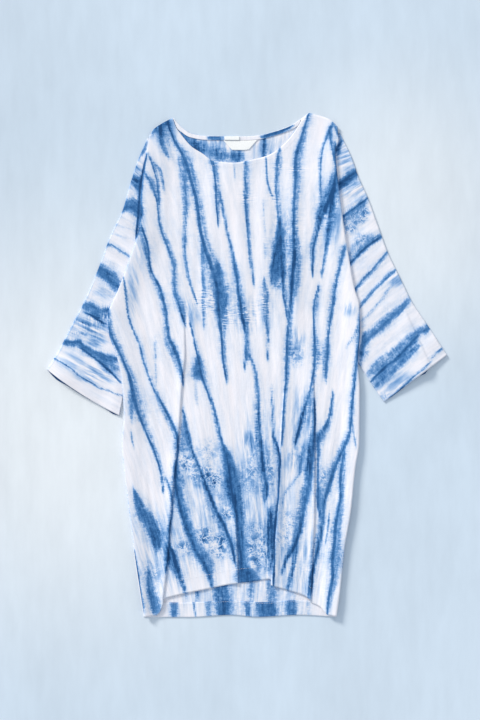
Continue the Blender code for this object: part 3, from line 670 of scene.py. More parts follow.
def makeShell(name, grid, wall, outward, fields, material):
    down = np.gradient(grid, axis=0)
    along = np.gradient(grid, axis=1)
    normal = np.cross(down, along)
    normal /= np.maximum(np.linalg.norm(normal, axis=2, keepdims=True), 1e-9)
    outer = grid + normal * (outward * wall / 2)
    inner = (grid - normal * (outward * wall / 2))[::2]
    rows, count = grid.shape[:2]
    halfRows = inner.shape[0]
    start = rows * count
    cells = np.arange(count - 1)[None, :]
    a = (np.arange(rows - 1)[:, None] * count + cells).ravel()
    b = start + (np.arange(halfRows - 1)[:, None] * count + cells).ravel()
    faces = np.stack([a, a + count, a + count + 1, a + 1], 1).tolist()
    faces += np.stack([b, b + 1, b + count + 1, b + count], 1).tolist()
    last, lastInner = (rows - 1) * count, start + (halfRows - 1) * count
    for c in range(count - 1):
        faces.append([c, c + 1, start + c + 1, start + c])
        faces.append([last + c + 1, last + c, lastInner + c, lastInner + c + 1])
    for edge in (0, count - 1):
        for k in range(halfRows - 1):
            o = 2 * k * count + edge
            i = start + k * count + edge
            faces.append([o, i, o + count])
            faces.append([o + count, i, i + count])
            faces.append([o + count, i + count, o + 2 * count])
    points = np.concatenate([outer.reshape(-1, 3), inner.reshape(-1, 3)]) * 0.001
    mesh = bpy.data.meshes.new(name)
    mesh.from_pydata(points.tolist(), [], faces)
    work = bmesh.new()
    work.from_mesh(mesh)
    bmesh.ops.recalc_face_normals(work, faces=work.faces)
    work.to_mesh(mesh)
    work.free()
    for key, values in fields.items():
        both = np.concatenate([values.reshape(rows * count, -1),
                               values[::2].reshape(halfRows * count, -1)]).astype(np.float32)
        kind, part = ("FLOAT_VECTOR", "vector") if key == "flow" else ("FLOAT", "value")
        mesh.attributes.new(key, kind, "POINT").data.foreach_set(part, both.ravel())
    mesh.shade_smooth()
    mesh.materials.append(material)
    print("piece:", name, sum(len(face) - 2 for face in faces), "triangles")
    return newObject(name, mesh)


def clothArea(grid):  # of the middle sheet, in square metres
    down = grid[1:, :-1] - grid[:-1, :-1]
    along = grid[:-1, 1:] - grid[:-1, :-1]
    return float(np.linalg.norm(np.cross(down, along), axis=2).sum()) * 1e-6


pleats = {"middle": 280, "level": 360, "draw": 0.0022, "step": 0.002}


def acrossPleats(sx, sy):  # pleats of the body draw together downwards
    return (sx - pleats["middle"]) * np.exp(pleats["draw"] * (sy - pleats["level"]))


def bodyFlow(x, y):
    across = acrossPleats(stepX(x), stepY(y)) * pleats["step"]
    return np.stack([across, stepY(y) * pleats["step"], np.zeros_like(x)], 2)


# The body's sizes and tables

body = {
    "wall": 1.0, "backHeight": 0.6, "restHeight": 2.1, "overHemHeight": 3.6,
    "roll": 2.4, "rollTop": 1.0, "rollGrows": 70, "returnLeast": 4,
    "hemTurn": 28, "hemRiseStart": -430, "hemRiseLength": 42,
    "rows": 256, "rollSteps": 10, "foldSteps": 3, "cadWall": 1.2, "relief": 0.6,
    # the edge values below set painted shade on the rolled left edge
    "edgeShade": 0.18, "edgeShadeSoft": 4, "columns": [38, 19, 19, 11, 27],
    "returnShares": (1, 0.66, 0.33), "riseFades": 4, "riseEnds": 1.12, "riseBend": (3, 5),
    "ripples": [(0.9, 7, 20, 60, 41), (0.45, 3.2, 40, 26, 43)],
}

sideLeftRows = table("y edge seat swell", [
    (459, -196, 3.8, 60), (435, -200, 4.4, 60), (409, -205, 4.4, 60), (349, -212, 4.4, 60),
    (273, -217, 4.4, 60), (211, -236, 4.4, 60), (153, -257, 4.4, 62), (107, -277, 4.4, 70),
    (91, -281, 4.4, 72), (57, -276, 4.4, 70), (19, -262, 4.4, 60), (-29, -252, 4.4, 56),
    (-106, -247, 4.4, 52), (-157, -251, 2.3, 50), (-219, -246, 2.3, 50), (-307, -235, 2.3, 44),
    (-397, -223, 2.3, 30), (-467, -212, 3.7, 22), (-504, -206, 3.7, 20),
])
sideRightRows = table("y edge seat swell", [
    (473, 180, 3.8, 50), (449, 182, 4.4, 50), (427, 176, 4.4, 50), (357, 182, 4.4, 54),
    (273, 193, 4.4, 54), (223, 201, 4.4, 54), (147, 215, 4.4, 54), (121, 223, 4.4, 54),
    (67, 225, 4.4, 54), (27, 222, 4.4, 50), (1, 221, 4.4, 48), (-49, 224, 5.2, 46),
    (-155, 223, 5.0, 44), (-209, 215, 5.0, 44), (-289, 207, 5.0, 44), (-367, 194, 4.8, 44),
    (-443, 186, 4.6, 42), (-503, 178, 4.2, 40),
])
seamLeft = [
    (459, -192.4), (349, -198), (273, -203), (211, -216), (153, -231), (93, -243.5),
    (29, -247), (-106, -246.5), (-157, -250), (-219, -245.5), (-307, -234.5), (-397, -224),
    (-467, -213.4), (-504, -207.4),
]
seamRight = [
    (473, 178.5), (427, 171), (357, 171.5), (273, 179), (223, 186.5), (147, 197.5),
    (67, 206), (1, 209), (-49, 216), (-155, 222), (-209, 214), (-289, 206), (-367, 193),
    (-443, 185), (-503, 177),
]
shoulderLeft = [(-197, 456), (-194, 459), (-188, 469), (-178, 477), (-163, 486), (-149, 493)]
shoulderRight = [(123, 503), (151, 495), (165, 489), (173, 482), (180, 474), (187, 459)]
neckFront = [
    (-149, 491), (-143, 475), (-129, 455), (-111, 435), (-89, 421), (-69, 407), (-55, 405),
    (-27, 403.5), (15, 411), (35, 416), (57, 427), (79, 447), (95, 467), (109, 489), (123, 503),
]
neckBack = [
    (-149, 493), (-132, 475), (-111, 461.5), (-83, 457), (-3, 456), (23, 458), (51, 465),
    (83, 476), (104, 489), (123, 503),
]
hemFront = [
    (-207, -504), (-185, -502), (-179, -497), (-169, -471), (-151, -464), (-121, -457),
    (-77, -448), (-33, -439), (19, -432.5), (34, -430), (42, -429), (48, -438.5), (74, -449),
    (111, -461), (130, -476), (145, -484), (161, -500), (181, -503),
]
hemBack = [(-210, -504), (-120, -504.5), (-33, -500), (20, -504), (100, -500), (180, -504)]

foldLines = {
    "a": [(493, -149), (329, -133), (119, -124), (27, -124), (-31, -130), (-131, -137),
          (-227, -147), (-311, -154), (-395, -160), (-465, -168)],
    "d": [(409, -66), (129, -47), (-111, -33), (-261, -23), (-341, -20), (-435, -17)],
    "b": [(415, 33), (229, 49), (-31, 71), (-155, 64), (-245, 61), (-329, 57), (-437, 47)],
    "c": [(503, 123), (229, 129), (-31, 134), (-209, 135), (-291, 135), (-405, 130), (-463, 128)],
}
folds = {
    "a": {"facing": 1, "starts": 170, "full": -40, "height": 3.8, "lean": 0.9},
    "d": {"facing": 1, "starts": -210, "full": -350, "height": 3.2, "lean": 0.55},
    "b": {"facing": -1, "starts": 20, "full": -180, "height": 4.8, "lean": 1.0},
    "c": {"facing": 1, "starts": 60, "full": -110, "height": 3.4, "lean": 0.7},
}
foldSection = table("flat across up", [
    (-28.0, -28.0, 0.0), (-18.0, -16.0, 0.2), (-10.0, -7.0, 0.74), (-6.0, -2.2, 1.0),
    (-3.8, 0.0, 0.74), (-1.9, -1.4, 0.44), (0.0, -3.2, 0.2), (1.5, -1.8, 0.01),
    (7.2, 5.0, 0.0), (18.0, 18.0, 0.0),
])
frontSwells = table("xTop yTop xBottom yBottom halfWidth height", [
    (-70, 400, -80, 120, 24, 2.0), (-18, 396, 0, 90, 22, 1.8), (32, 405, 30, -140, 24, 2.4),
    (92, 440, 98, 60, 20, 2.0), (166, 160, 176, -110, 22, 2.2), (-96, -60, -92, -440, 26, 1.8),
    (6, -120, 10, -430, 20, 1.8), (96, -200, 88, -455, 18, 1.6), (156, -240, 158, -480, 14, 2.0),
])
# Finer creases of the front, drawn down it: narrower and shorter than the swells
frontCreases = table("xTop yTop xBottom yBottom halfWidth height", [
    (-176, 400, -160, 250, 9, 0.9), (-150, 380, -128, 180, 8, 0.8), (-112, 330, -106, 60, 10, 1.0),
    (-48, 330, -42, 150, 9, 0.8), (62, 330, 74, 120, 9, 0.9), (130, 380, 142, 190, 10, 0.9),
    (160, 330, 168, 210, 8, 0.7), (-210, 90, -196, -60, 10, 1.0), (-232, -20, -214, -190, 9, 0.8),
    (-176, 60, -164, -130, 9, 0.9), (-60, 60, -52, -200, 10, 0.9), (30, -190, 34, -330, 7, 0.8),
    (112, 60, 110, -150, 8, 0.9), (192, 40, 196, -190, 9, 0.9), (-128, -200, -120, -430, 8, 0.8),
    (-204, -180, -190, -400, 8, 0.8), (172, -200, 166, -470, 8, 0.8),
    (-40, -260, -44, -440, 7, 0.7),
])


class Side:  # outline, seam and rolled edge of one side of the body
    def __init__(self, rows, seam, inward):
        self.inward = inward
        self.top = rows[0].y
        self.seam = curve(seam)
        self.edge = curve([(row.y, row.edge) for row in rows])
        self.seat = curve([(row.y, row.seat) for row in rows])
        self.swell = curve([(row.y, row.swell) for row in rows])

    def roll(self, y):
        grows = ease((self.top - y) / body["rollGrows"])
        return body["rollTop"] + (body["roll"] - body["rollTop"]) * grows

    def inset(self, y):
        return self.inward * (self.seam(y) - self.edge(y))

    def bend(self, y):
        return self.edge(y) + self.inward * (body["cadWall"] / 2 + self.roll(y))

    def raised(self, x, y):
        inside = self.inward * (x - self.bend(y)) / self.swell(y)
        lift = self.seat(y) + 2 * self.roll(y) - body["restHeight"]
        return lift * (1 - ease(inside))


leftSide = Side(sideLeftRows, seamLeft, 1)
rightSide = Side(sideRightRows, seamRight, -1)
foldAt = {name: curve(rows) for name, rows in foldLines.items()}


def upperEdge(neck):
    left, right, middle = curve(shoulderLeft), curve(shoulderRight), curve(neck)

    def at(x):
        if x < neck[0][0]:
            return float(left(x))
        if x > neck[-1][0]:
            return float(right(x))
        return float(middle(x))

    return at


def whereMeets(edge, column, start):
    y = start
    for _ in range(14):
        y = 0.5 * y + 0.5 * edge(float(column(y)))
    return y


def foldColumns(name):
    facing = folds[name]["facing"]
    rows = foldSection[::facing]
    fine = np.linspace(0, len(rows) - 1, (len(rows) - 1) * body["foldSteps"] + 1)
    flat = curve(list(enumerate(facing * row.flat for row in rows)))(fine)
    across = curve(list(enumerate(facing * row.across for row in rows)))(fine)
    up = curve(list(enumerate(row.up for row in rows)))(fine)
    return list(zip(flat, across, up))


def shifted(line, by):
    return lambda y: line(y) + by


def between(left, right, share):
    return lambda y: left(y) + share * (right(y) - left(y))


def frontColumns():
    names = list(folds)
    lines = [leftSide.bend] + [foldAt[name] for name in names] + [rightSide.bend]
    sections = [foldColumns(name) for name in names]
    starts = [0.0] + [rows[-1][0] for rows in sections]
    stops = [rows[0][0] for rows in sections] + [0.0]
    counts = body["columns"]
    columns = []
    for part, count in enumerate(counts):
        left, right = shifted(lines[part], starts[part]), shifted(lines[part + 1], stops[part])
        shares = np.linspace(0, 1, count + 1)[int(part > 0):]
        shares = shares if part == len(counts) - 1 else shares[:-1]
        columns += [(between(left, right, share), None, 0.0, 0.0) for share in shares]
        if part < len(sections):
            columns += [(shifted(lines[part + 1], flat), names[part], across - flat, up)
                        for flat, across, up in sections[part]]
    return columns


def risesAlong(x, y, rises):
    height = np.zeros_like(x)
    fades, (aside, turns) = body["riseFades"], body["riseBend"]
    for rise in rises:
        share = (rise.yTop - y) / (rise.yTop - rise.yBottom)
        line = rise.xTop + (rise.xBottom - rise.xTop) * share
        line = line + aside * np.sin(share * turns + rise.xTop)
        fade = ease(share * fades) * ease((body["riseEnds"] - share) * fades)
        height = height + rise.height * fade * hump((x - line) / rise.halfWidth)
    return height


def frontHeight(x, y):
    overHem = ease((body["hemRiseStart"] - y) / body["hemRiseLength"])
    height = body["restHeight"] + (body["overHemHeight"] - body["restHeight"]) * overHem
    height = height + leftSide.raised(x, y) + rightSide.raised(x, y)
    rises = risesAlong(x, y, frontSwells) + risesAlong(x, y, frontCreases)
    sx, sy = stepX(x), stepY(y)
    across = acrossPleats(sx, sy)
    for most, wide, start, high, seed in body["ripples"]:
        rises = rises + most * cloud(across / wide + start, sy / high, seed) ** 2
    return height + body["relief"] * rises


rollPoints = body["rollSteps"] + 3


def rollUnder(side, y, bendHeight):
    radius = side.roll(y)
    middle = bendHeight - radius
    start = side.bend(y)
    length = np.maximum(side.inset(y) - body["cadWall"] / 2 - radius, body["returnLeast"])
    seat = middle - radius
    points = [(start + side.inward * length * share, seat) for share in body["returnShares"]]
    for turn in range(body["rollSteps"]):
        angle = math.pi * turn / body["rollSteps"]
        points.append((start - side.inward * radius * math.sin(angle),
                       middle - radius * math.cos(angle)))
    return points


def frontGrid():
    topEdge, hem, columns = upperEdge(neckFront), curve(hemFront), frontColumns()
    tops = np.array([whereMeets(topEdge, column[0], neckFront[0][1]) for column in columns])
    bottoms = np.array([whereMeets(hem, column[0], hemFront[0][1]) for column in columns])
    shares = np.linspace(0, 1, body["rows"] + 1)[:, None]
    y = tops + shares * (bottoms - tops)
    x = np.stack([column[0](y[:, i]) for i, column in enumerate(columns)], 1)
    z = frontHeight(x, y)
    for i, (column, fold, shift, rise) in enumerate(columns):
        if fold:
            rule = folds[fold]
            grown = ease((rule["starts"] - y[:, i]) / (rule["starts"] - rule["full"]))
            x[:, i] += shift * rule["lean"] * grown
            z[:, i] += rise * rule["height"] * grown
    left = rollUnder(leftSide, y[:, 0], z[:, 0])
    right = rollUnder(rightSide, y[:, -1], z[:, -1])[::-1]
    xs = [p[0] for p in left] + list(x.T) + [p[0] for p in right]
    zs = [p[1] for p in left] + list(z.T) + [p[1] for p in right]
    ys = [y[:, 0]] * len(left) + list(y.T) + [y[:, -1]] * len(right)
    return np.stack([np.stack(xs, 1), np.stack(ys, 1), np.stack(zs, 1)], 2)


def dyeAndShadeFields(grid, flow, seed, streaks=(), bands=(), ticks=(), crackle=(), wash=()):
    sx, sy = stepX(grid[:, :, 0]), stepY(grid[:, :, 1])
    dye = streakField(sx, sy, streaks, True, seed)
    if bands:
        dye = mixDyeAndShade(dye, streakField(sx, sy, bands, False, seed + 3))
    return {"dye": dye, "ticks": patchField(sx, sy, ticks), "wash": patchField(sx, sy, wash),
            "crackle": patchField(sx, sy, crackle), "flow": flow}


def frontFields(grid):
    flow = bodyFlow(grid[:, :, 0], grid[:, :, 1])
    fields = dyeAndShadeFields(grid, flow, 101, bodyStreaks, (), bodyTicks, bodyCrackle, bodyWash)
    past = rollPoints - np.arange(grid.shape[1])  # the rolled left edge is painted a little darker, painted shade that tones down its lit rim
    edge = ease((past + 1) / body["edgeShadeSoft"])[None, :]
    fields["dye"] = mixDyeAndShade(fields["dye"], body["edgeShade"] * edge)
    return fields


frontShape = frontGrid()
front = makeShell("dressFront", frontShape, body["wall"], 1, frontFields(frontShape), dyedCloth)
print("stage: front, cloth area", round(clothArea(frontShape), 4))


# The back: flat, with its hem folded up over itself

under = {
    "columns": [12, 96, 14], "turnGap": 0.3, "coarse": 120, "fine": 57, "fineFrom": 0.6,
    "turnSteps": 8, "upSteps": 12, "flowShift": 30, "mirror": 495,
    "streaksFrom": 168, "softFrom": 14, "streaksTo": 560, "softTo": 18,
}


def backGrid():
    topEdge, hem = upperEdge(neckBack), curve(hemBack)
    turn = (body["cadWall"] + under["turnGap"]) / 2
    lines = [leftSide.seam, lambda y: neckBack[0][0] + 0 * y, lambda y: neckBack[-1][0] + 0 * y,
             rightSide.seam]
    columns = []
    for part, count in enumerate(under["columns"]):
        shares = np.linspace(0, 1, count + 1)[:(-1 if part < 2 else None)]
        columns += [between(lines[part], lines[part + 1], share) for share in shares]
    tops = np.array([whereMeets(topEdge, column, neckBack[0][1]) for column in columns])
    bottoms = np.array([whereMeets(hem, column, hemBack[0][1]) for column in columns]) + turn
    shares = np.concatenate([np.linspace(0, under["fineFrom"], under["coarse"] + 1)[:-1],
                             np.linspace(under["fineFrom"], 1, under["fine"])])[:, None]
    y = tops + shares * (bottoms - tops)
    x = np.stack([column(y[:, i]) for i, column in enumerate(columns)], 1)
    flat = np.stack([x, y, np.full_like(x, body["backHeight"])], 2)
    rows = list(flat)
    for angle in np.linspace(0, math.pi, under["turnSteps"])[1:]:
        rows.append(flat[-1] + (0, -turn * math.sin(angle), turn * (1 - math.cos(angle))))
    for up in np.linspace(0, 1, under["upSteps"])[1:]:
        rows.append(flat[-1] + (0, up * body["hemTurn"], 2 * turn))
    if len(rows) % 2 == 0:
        rows = rows[:1] + rows
    return np.stack(rows), len(flat)


def backFields(grid, flatRows):
    x, y = grid[:, :, 0], grid[:, :, 1]
    sx, sy = stepX(x), stepY(y)
    fields = dyeAndShadeFields(grid, bodyFlow(-x + under["flowShift"], y), 201, backStreaks, wash=backWash)
    fields["dye"] = mixDyeAndShade(fields["dye"], patchField(sx, sy, backBlots))
    # Between neck and hem the streaks are like the front's, the other way round
    inner = (ease((sy - under["streaksFrom"]) / under["softFrom"])
             * ease((under["streaksTo"] - sy) / under["softTo"]))
    mirror = under["mirror"] - sx
    mirrored = streakField(mirror, sy, bodyStreaks, True, 301)
    fields["dye"] = mixDyeAndShade(fields["dye"] * (1 - inner), mirrored * inner)
    fields["crackle"] = patchField(mirror, sy, bodyCrackle) * inner
    fields["ticks"] = patchField(mirror, sy, bodyTicks) * inner
    turned = streakField(sx, sy, turnUpStreaks, True, 251)
    fields["dye"][flatRows:] = turned[flatRows:]
    return fields


backShape, backFlatRows = backGrid()
back = makeShell("dressBack", backShape, body["wall"], -1, backFields(backShape, backFlatRows),
                 dyedCloth)
print("stage: back, cloth area", round(clothArea(backShape), 4))


# Sleeves: lower layer, outer fold and upper layer in one shell

sleeve = {
    "rows": 220, "foldSteps": 9, "topHeight": 2.8, "narrow": 20, "underarmAt": 0.73,
    "seamGap": 0.5, "lower": np.linspace(0, 1, 15), "upper": np.linspace(1, 0, 84),
    "bow": {"left": 5.0, "right": 0.0}, "liftReach": 0.16,
    # painted shade on the left sleeve's lit outer fold, and painted shadow inside the cuffs' open
    # mouths
    "foldShade": {"left": 0.13, "right": 0.0}, "mouthShadeFrom": 0.94, "mouthShadeSoft": 0.05,
    "sewnSoft": 0.08, "seamSoft": 0.12, "spreadFrom": 0.45, "spreadSoft": 0.4, "roomSoft": 40,
    "creaseShare": 0.8, "mouthWider": 0.12, "rippleShare": 0.8, "rippleSoft": 0.15,
    "ripples": (34, 3), "rippleSeed": {"left": 61, "right": 67}, "bowFrom": 0.8, "bowSoft": 0.2,
    "showsFrom": 0.9, "showsSoft": 0.1, "flowLong": 0.5,
}
sleeveRows = {
    "left": table("outerX outerY innerX innerY spread", [
        (-199.5, 453, -193.5, 448.5, 2.3), (-217, 413, -195, 399, 2.8),
        (-232, 369, -198, 339, 2.9), (-251, 305, -203, 273, 3.0), (-274, 257, -215, 215, 3.0),
        (-297, 195, -232, 159, 3.1), (-324, 131, -244, 93, 3.2), (-353, 75, -247, 29, 3.3),
        (-378, 27, -247, -41, 3.5), (-401, -9, -256, -102, 3.8),
    ]),
    "right": table("outerX outerY innerX innerY spread", [
        (184, 464, 178, 452, 2.3), (208, 414, 169, 399, 2.8), (221, 377, 170, 349, 2.9),
        (240, 334, 178, 293, 3.0), (261, 277, 186, 229, 3.0), (280, 225, 195, 163, 3.1),
        (305, 173, 202, 99, 3.2), (329, 125, 206, 39, 3.3), (361, 77, 238, -23, 3.5),
        (399, 19, 273, -75, 3.8),
    ]),
}
sleeveCreases = {
    "left": table("along across halfLong halfWide height", [
        (0.30, 0.80, 0.06, 0.35, 0.9), (0.52, 0.78, 0.05, 0.30, 1.1),
        (0.74, 0.70, 0.06, 0.35, 1.0), (0.90, 0.62, 0.06, 0.30, 0.9),
        (0.42, 0.60, 0.03, 0.40, 0.6), (0.64, 0.50, 0.03, 0.40, 0.7), (0.82, 0.45, 0.03, 0.4, 0.6),
    ]),
    "right": table("along across halfLong halfWide height", [
        (0.28, 0.80, 0.05, 0.35, 1.0), (0.47, 0.78, 0.05, 0.32, 1.2),
        (0.66, 0.76, 0.05, 0.32, 1.0), (0.98, 0.66, 0.16, 0.10, 2.2),
        (0.38, 0.60, 0.03, 0.40, 0.6), (0.57, 0.50, 0.03, 0.40, 0.7), (0.78, 0.45, 0.03, 0.4, 0.7),
    ]),
}
cuffMouths = {
    "left": table("across halfWide shows lifts", [
        (0.86, 0.20, 4.6, 5.4), (0.6, 0.34, 1.6, 4.4), (0.09, 0.09, 3.6, 2.0),
    ]),
    "right": table("across halfWide shows lifts", [
        (0.62, 0.06, 6.0, 0.0), (0.55, 0.4, 0.0, 4.6), (0.20, 0.2, 0.8, 0.0),
    ]),
}
tuck = {"line": curve([(0.78, 0.9), (0.81, 0.88), (0.9, 0.83), (1.0, 0.764)]),
        "step": 2.0, "edge": 0.02, "wide": 0.3, "fades": 0.25, "starts": 0.78, "grows": 0.05}


def sleeveHeight(along, share, spread, length, name):
    level = sleeve["topHeight"] if length > sleeve["narrow"] else spread
    sewn = float(ease((along - sleeve["underarmAt"]) / sleeve["sewnSoft"]))
    near = level + (body["restHeight"] - level) * sewn
    z = near + (level - near) * ease(share / sleeve["seamSoft"])
    z = z + (spread - level) * ease((share - sleeve["spreadFrom"]) / sleeve["spreadSoft"])
    room = float(ease((length - sleeve["narrow"]) / sleeve["roomSoft"]))
    for crease in sleeveCreases[name]:
        reach = hump((along - crease.along) / crease.halfLong)
        across = hump((share - crease.across) / crease.halfWide)
        z = z + sleeve["creaseShare"] * crease.height * reach * across * room
    opens = float(ease((along - 1 + sleeve["liftReach"]) / sleeve["liftReach"]))
    for mouth in cuffMouths[name]:
        wide = mouth.halfWide + sleeve["mouthWider"]
        z = z + mouth.lifts * opens * hump((share - mouth.across) / wide)
    if name == "right":
        over = float(tuck["line"](max(along, tuck["starts"]))) - share
        z = z + (tuck["step"] * ease(over / tuck["edge"])
                 * ease((tuck["wide"] - over) / tuck["fades"])
                 * float(ease((along - tuck["starts"]) / tuck["grows"])))
    long, wide = sleeve["ripples"]
    ripple = cloud(along * long + 0 * share, share * wide, sleeve["rippleSeed"][name])
    return z + sleeve["rippleShare"] * ripple ** 2 * room * ease(share / sleeve["rippleSoft"])


def sleeveGrid(name, side):
    rows = sleeveRows[name]
    lines = {}
    for column in rows[0]._fields:
        lines[column] = curve(list(enumerate(getattr(row, column) for row in rows)))
    base = body["backHeight"]
    grid, alongs = [], []
    for row in range(sleeve["rows"] + 1):
        along = row / sleeve["rows"]
        place = {column: float(line(along * (len(rows) - 1))) for column, line in lines.items()}
        clear = float(side.seam(place["innerY"])) - side.inward * sleeve["seamGap"]
        innerX = side.inward * min(side.inward * place["innerX"], side.inward * clear)
        inner = np.array([innerX, place["innerY"]])
        reach = np.array([place["outerX"], place["outerY"]]) - inner
        length = float(np.hypot(*reach))
        outward = reach / length
        cuffward = np.array([-outward[1], outward[0]]) * side.inward
        bow = sleeve["bow"][name] * float(ease((along - sleeve["bowFrom"]) / sleeve["bowSoft"]))
        radius = (place["spread"] - base) / 2
        run = length - body["cadWall"] / 2 - radius
        past = sum(mouth.shows * hump((sleeve["lower"] - mouth.across) / mouth.halfWide)
                   for mouth in cuffMouths[name])
        past = past * float(ease((along - sleeve["showsFrom"]) / sleeve["showsSoft"]))
        turn = np.pi * np.arange(1, sleeve["foldSteps"]) / sleeve["foldSteps"]
        across = np.concatenate([sleeve["lower"] * run, run + radius * np.sin(turn),
                                 sleeve["upper"] * run])
        beyond = np.concatenate([past, 0 * turn, 0 * sleeve["upper"]])
        z = np.concatenate([base + 0 * sleeve["lower"], base + radius * (1 - np.cos(turn)),
                            sleeveHeight(along, sleeve["upper"], place["spread"], length, name)])
        share = across / length
        shift = beyond + bow * 4 * share * (1 - share)
        xy = inner + outward * across[:, None] + cuffward * shift[:, None]
        grid.append(np.concatenate([xy, z[:, None]], 1))
        alongs.append(np.stack([np.full_like(share, along * sleeve["flowLong"]),
                                across * 0.001, 0 * share], 1))
    return np.stack(grid), np.stack(alongs)


def makeSleeve(name, side, seed, **dye):
    grid, flow = sleeveGrid(name, side)
    fields = dyeAndShadeFields(grid, flow, seed, **dye)
    inside = len(sleeve["lower"])
    along = np.linspace(0, 1, sleeve["rows"] + 1)[:, None]
    # painted shadow: the lower layer's inside is darkened near the cuff, where the open mouth shows
    # it
    mouth = (ease((along - sleeve["mouthShadeFrom"]) / sleeve["mouthShadeSoft"])
             * np.ones(inside)[None, :])
    fields["dye"][:, :inside] = mixDyeAndShade(fields["dye"][:, :inside], mouth)
    # painted shade on the outer fold of the left sleeve, which faces the light
    turned = slice(inside + 1, inside + sleeve["foldSteps"] + 1)
    fields["dye"][:, turned] = mixDyeAndShade(fields["dye"][:, turned], sleeve["foldShade"][name])
    piece = makeShell("dressSleeve" + name.capitalize(), grid, body["wall"], side.inward, fields,
                      dyedCloth)
    print("stage: sleeve", name, "cloth area", round(clothArea(grid), 4))
    return piece, grid


sleeveLeft, leftShape = makeSleeve(
    "left", leftSide, 401, streaks=leftSleeveStreaks, bands=leftSleeveBands, ticks=leftTicks,
    wash=leftWash)
sleeveRight, rightShape = makeSleeve(
    "right", rightSide, 501, bands=rightSleeveBands, ticks=rightTicks, crackle=rightCrackle,
    wash=rightWash)


# Facing, label and size tab at the back of the neck

trim = {
    "wall": 0.8, "height": 2.0, "facingDepth": 8, "facingLeast": 1.5, "facingClear": 1.6,
    "inset": 0.5, "facingStart": 2, "facingEnd": 17, "labelTop": 68, "labelBottom": 34,
    "labelDepth": 19, "labelCentre": -14, "tabSize": (30, 7), "tabCentre": -31, "tabInset": 0.8,
    "seamGap": 0.5, "labelBulge": 0.25, "bulgeAt": 0.1, "bulgeGrows": 1.4, "tabAbove": 1.3,
}
neckBackLine, neckFrontLine = curve(neckBack), curve(neckFront)


def facingLower(x):
    slope = (neckBackLine(x + 1) - neckBackLine(x - 1)) / 2
    depth = trim["facingDepth"] * np.hypot(1, slope)
    room = neckBackLine(x) - neckFrontLine(x) - trim["facingClear"]
    return neckBackLine(x) - np.maximum(np.minimum(depth, room), trim["facingLeast"])


def stripGrid(xs, upper, lower, height, rows):
    shares = np.linspace(0, 1, rows)[:, None]
    y = upper + shares * (lower - upper)
    return np.stack([np.broadcast_to(xs, y.shape), y, np.full_like(y, height)], 2)


def makeFacing():
    xs = np.linspace(neckBack[0][0] + trim["facingStart"],
                     neckBack[-1][0] - trim["facingEnd"], 140)
    grid = stripGrid(xs, neckBackLine(xs) - trim["inset"], facingLower(xs), trim["height"], 9)
    fields = dyeAndShadeFields(grid, grid * (0.001, 0.001, 0), 601, bands=facingBands)
    return makeShell("neckFacing", grid, trim["wall"], 1, fields, dyedCloth)


def makeLabel():
    across = np.linspace(-0.5, 0.5, 41)
    upper = facingLower(trim["labelCentre"] + across * trim["labelTop"]) - trim["seamGap"]
    shares = np.linspace(0, 1, 17)[:, None]
    width = trim["labelTop"] + (trim["labelBottom"] - trim["labelTop"]) * shares
    x = trim["labelCentre"] + across * width
    y = upper - shares * trim["labelDepth"]
    bulge = hump((across - trim["bulgeAt"]) / 0.5) * ease(shares * trim["bulgeGrows"])
    z = trim["height"] + trim["labelBulge"] * bulge
    return makeShell("backLabel", np.stack([x, y, z], 2), trim["wall"], 1, {}, labelTape)


def makeTab():
    width, depth = trim["tabSize"]
    xs = trim["tabCentre"] + np.linspace(-width / 2, width / 2, 21)
    upper = neckBackLine(xs) - trim["tabInset"]
    grid = stripGrid(xs, upper, upper - depth, trim["height"] + trim["tabAbove"], 7)
    return makeShell("sizeTab", grid, trim["wall"], 1, {}, labelTape)


facing, label, tab = makeFacing(), makeLabel(), makeTab()
print("stage: neck trims")


# Stitches: rows of short threads along paths on the cloth, made by Geometry Nodes

stitch = {
    "length": 2.6, "pitch": 3.4, "thick": 0.55, "above": 0.1, "seed": 7,
    "tilt": (0.03, 0.03, 0.07), "neckEnds": (-140, 112), "hemEnds": ((-150, 30), (52, 160)),
    "neckInset": 9, "hemDepth": 28, "cuffDepth": 26, "turnUpRow": -2, "turnUpEnds": (-165, 150),
}


